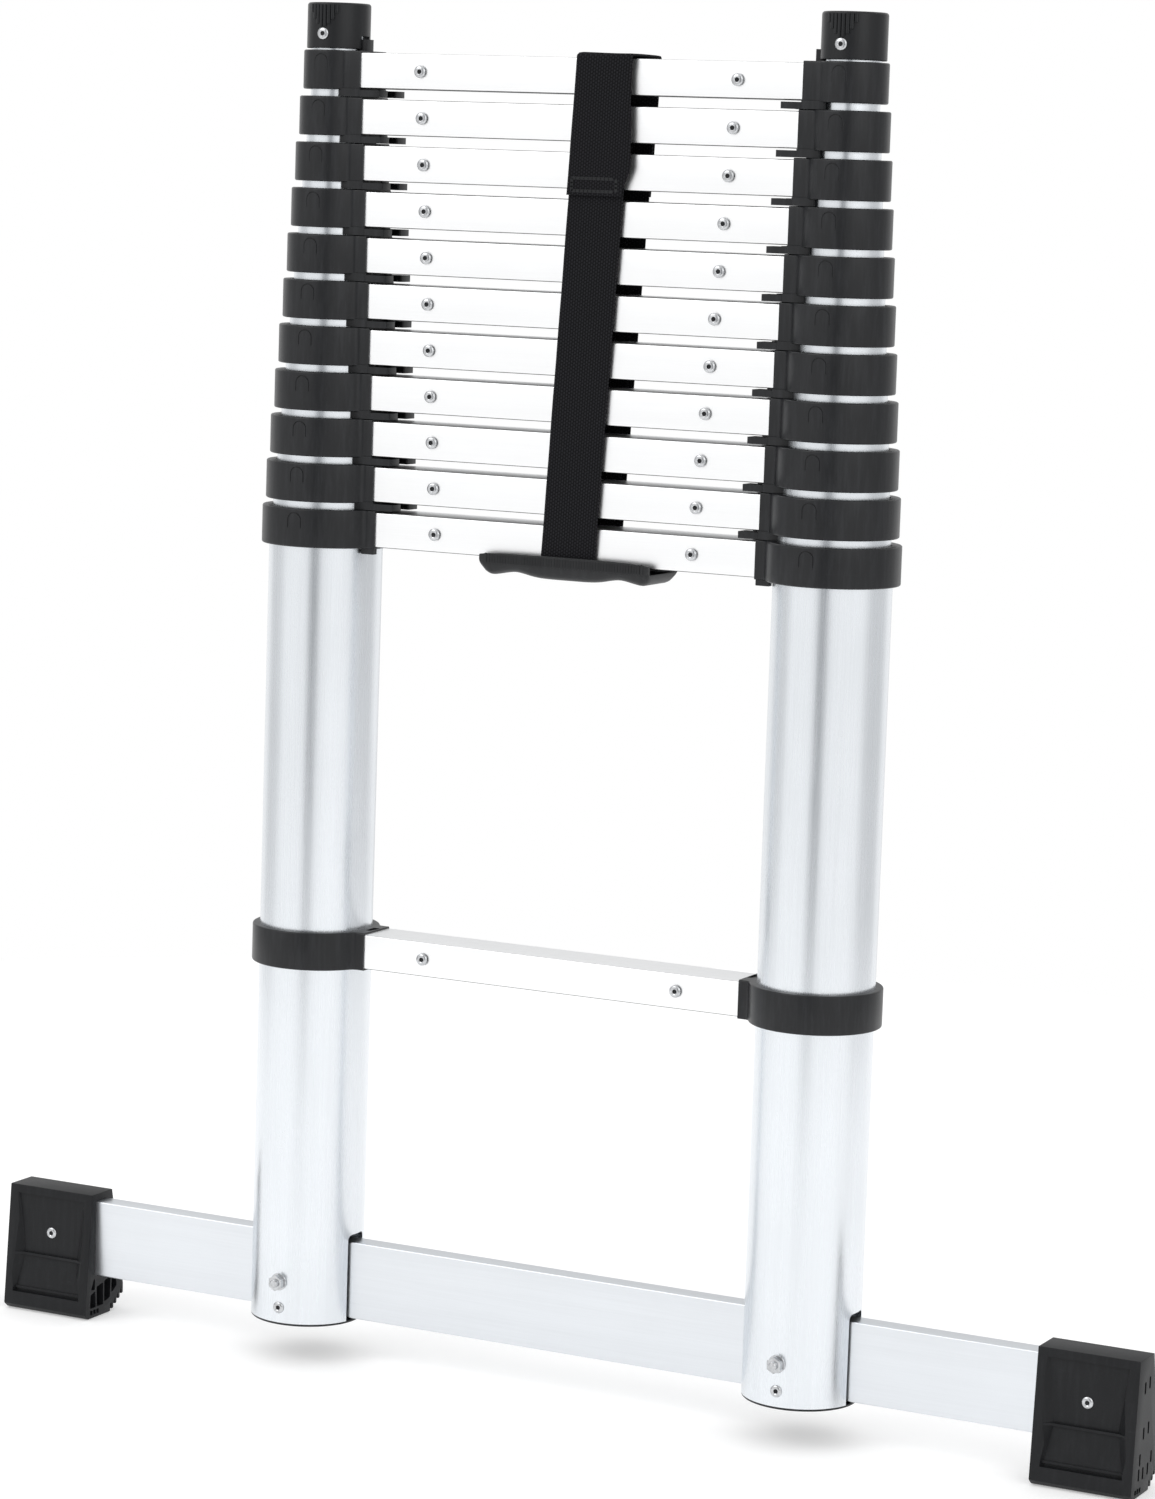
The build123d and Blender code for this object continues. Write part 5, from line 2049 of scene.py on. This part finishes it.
        tape = self.strip("strap_upper_woven", line, edges)
        enrol(tape, body_name(SECTIONS), "webbing", self.finishes.webbing, "strap_upper")
        face = -depth - self.thickness / 2 - self.stitch_gap
        stitch = Solid().block(
            tuple(-c / 2 for c in self.stitch), tuple(c / 2 for c in self.stitch), self.stitch_edge, 2
        )
        reach = half - self.seam_margin
        left, right = self.middle_x(seam) - reach, self.middle_x(seam) + reach
        count = int((right - left) / self.stitch_pitch)
        seats = [
            Seat((left + (k + 0.5) * self.stitch_pitch, face, seam + row), (0, FRONT, 0))
            for row in self.seam_rows for k in range(count)
        ]
        sides = [seam + self.seam_side_first + k * self.seam_side_pitch for k in range(self.seam_side_count)]
        seats += [
            Seat((x, face, height), (0, FRONT, 0), (1, 1, 1), math.pi / 2)
            for x in (left, right - self.flap_tuck) for height in sides
        ]
        sewn = self.shop.set_shapes("strap_stitches", stitch, seats, self.finishes.cap)
        enrol(sewn, body_name(SECTIONS), "webbing", self.finishes.cap)
        length = sum((Vector(b) - Vector(a)).length for a, b in zip(line, line[1:]))
        section_node(SECTIONS, "rung")
        return tape


# ---- studio ----------------------------------------------------------------------------------


@dataclass
class Studio:
    """A pale floor, soft light and the camera, in metres and degrees."""

    target: Point = (0.00889, 0.0, 0.4591)
    distance: float = 3.0992
    azimuth: float = 26.76
    elevation: float = 7.61
    roll: float = 1.9
    lens: float = 107.52
    sensor: float = 36.0
    floor_radius: float = 1.7
    dark_bands: tuple[Point, ...] = (
        (-84.0, 34.0, 0.35), (125.0, 45.0, 0.38), (8.0, 15.0, 0.7), (-158.0, 24.0, 0.35),
    )
    band_core: float = 0.35
    darkest: Point = (0.09, 0.10, 0.115)

    def floor(self) -> None:
        """Lays the floor."""
        rings = [[(x / MM, y / MM, z) for x, y in circle(self.floor_radius, 64)] for z in (-8.0, -0.6)]
        obj = mesh_object("studio_floor", Solid().loft(rings), weld=False)
        graph = ShaderGraph("pale_floor")
        obj.data.materials.append(graph.surface(
            Base_Color=(0.78, 0.78, 0.78, 1.0), Roughness=0.9, Specular_IOR_Level=0.0,
            Emission_Color=(1.0, 1.0, 1.0, 1.0), Emission_Strength=0.32,
        ))

    def sky(self) -> None:
        """Lights the studio from all round, brighter in front and above, with two dim flanks."""
        world = bpy.data.worlds.new("studio")
        bpy.context.scene.world = world
        graph = ShaderGraph(world)
        where = graph.add("ShaderNodeTexCoord", output="Generated")
        split = graph.make("ShaderNodeSeparateXYZ", None, {0: where})
        x, y, z = (Signal(graph, split.outputs[k]) for k in range(3))
        angle = graph.add("ShaderNodeMath", {"operation": "ARCTAN2"}, {0: x, 1: 0 - y})
        degrees = angle * (180 / math.pi)
        dim = 0.0 * degrees
        for middle, width, depth in self.dark_bands:
            dim = dim + (1 - (degrees - middle).size().over(width * self.band_core, width)) * depth
        upper = z.over(0.35, 0.9)
        level = (1.0 - dim * (1 - upper)) * (0.98 + upper * 0.12)
        tone = graph.blend(level.over(0.0, 1.0), self.darkest, (1.0, 1.0, 1.0))
        soft = graph.add("ShaderNodeBackground", None, {"Color": tone, "Strength": 1.0})
        plain = graph.add("ShaderNodeBackground", None, {"Color": (1, 1, 1, 1), "Strength": 1.0})
        seen = graph.add("ShaderNodeLightPath", output="Is Camera Ray")
        both = graph.add("ShaderNodeMixShader", None, {0: seen, 1: soft, 2: plain})
        graph.make("ShaderNodeOutputWorld", None, {"Surface": both})

    def lamp(self, name: str, at: Point, size: float, power: float) -> None:
        """Hangs a square soft light that looks at the ladder."""
        light = bpy.data.lights.new(name, "AREA")
        light.size = size
        light.energy = power
        obj = bpy.data.objects.new(name, light)
        obj.location = at
        obj.rotation_euler = (Vector(self.target) - Vector(at)).to_track_quat("-Z", "Y").to_euler()
        bpy.context.scene.collection.objects.link(obj)

    def camera(self) -> None:
        """Sets the camera, rolled a little so that the ladder leans to the left."""
        a, e, t = (math.radians(v) for v in (self.azimuth, self.elevation, self.roll))
        back = Vector((math.sin(a) * math.cos(e), -math.cos(a) * math.cos(e), math.sin(e)))
        right = Vector((math.cos(a), math.sin(a), 0.0))
        up = back.cross(right)
        x_axis = right * math.cos(t) + up * math.sin(t)
        y_axis = up * math.cos(t) - right * math.sin(t)
        data = bpy.data.cameras.new("camera")
        data.lens = self.lens
        data.sensor_width = self.sensor
        data.clip_end = 200.0
        obj = bpy.data.objects.new("camera", data)
        matrix = Matrix((x_axis, y_axis, back)).transposed().to_4x4()
        matrix.translation = Vector(self.target) + back * self.distance
        obj.matrix_world = matrix
        bpy.context.scene.collection.objects.link(obj)
        bpy.context.scene.camera = obj

    def make(self) -> None:
        """Sets up the whole studio."""
        self.floor()
        self.sky()
        self.lamp("key", (-2.2, -3.2, 3.4), 2.6, 42.0)
        self.lamp("fill", (3.0, -2.0, 2.2), 2.2, 14.0)
        self.camera()
        bpy.context.scene.view_settings.view_transform = "Standard"


def dress_buttons(finishes: Finishes) -> None:
    """Gives the release buttons, which keep their CAD shape, their finish."""
    for side in ("left", "right"):
        node = frame["nodes"][f"release_button_{side}"]
        node.data.materials.clear()
        node.data.materials.append(finishes.handle)


def main() -> None:
    """Builds every sub-assembly in order."""
    logging.basicConfig(level=logging.INFO, format="%(message)s")
    finishes = Finishes()
    shop = Workshop()
    travel = next(j for j in frame["joints"] if j["name"] == "section_01_slide")["range_m"][1] / MM
    tubes = Tubes(finishes, travel)
    boxes = BoxSections(finishes)
    collars = Collars(finishes)
    fasteners = Fasteners(finishes, shop)
    feet = Feet(finishes, shop)
    caps = Caps(finishes, shop)
    for side in (LEFT, RIGHT):
        tubes.base(side)
        feet.make(side)
    boxes.bar()
    boxes.middle_rung()
    collars.make(0, middle=True)
    fasteners.of_base()
    fasteners.bolts()
    caps.plugs()
    for section in range(SECTIONS + 1):
        if section:
            tubes.sliding(section)
        boxes.rung(section)
        collars.make(section)
        fasteners.of_section(section)
    caps.ends()
    Handle(finishes, shop).make()
    strap = Strap(finishes, shop)
    strap.lower()
    strap.upper()
    dress_buttons(finishes)
    Studio().make()


if __name__ == "__main__":
    main()
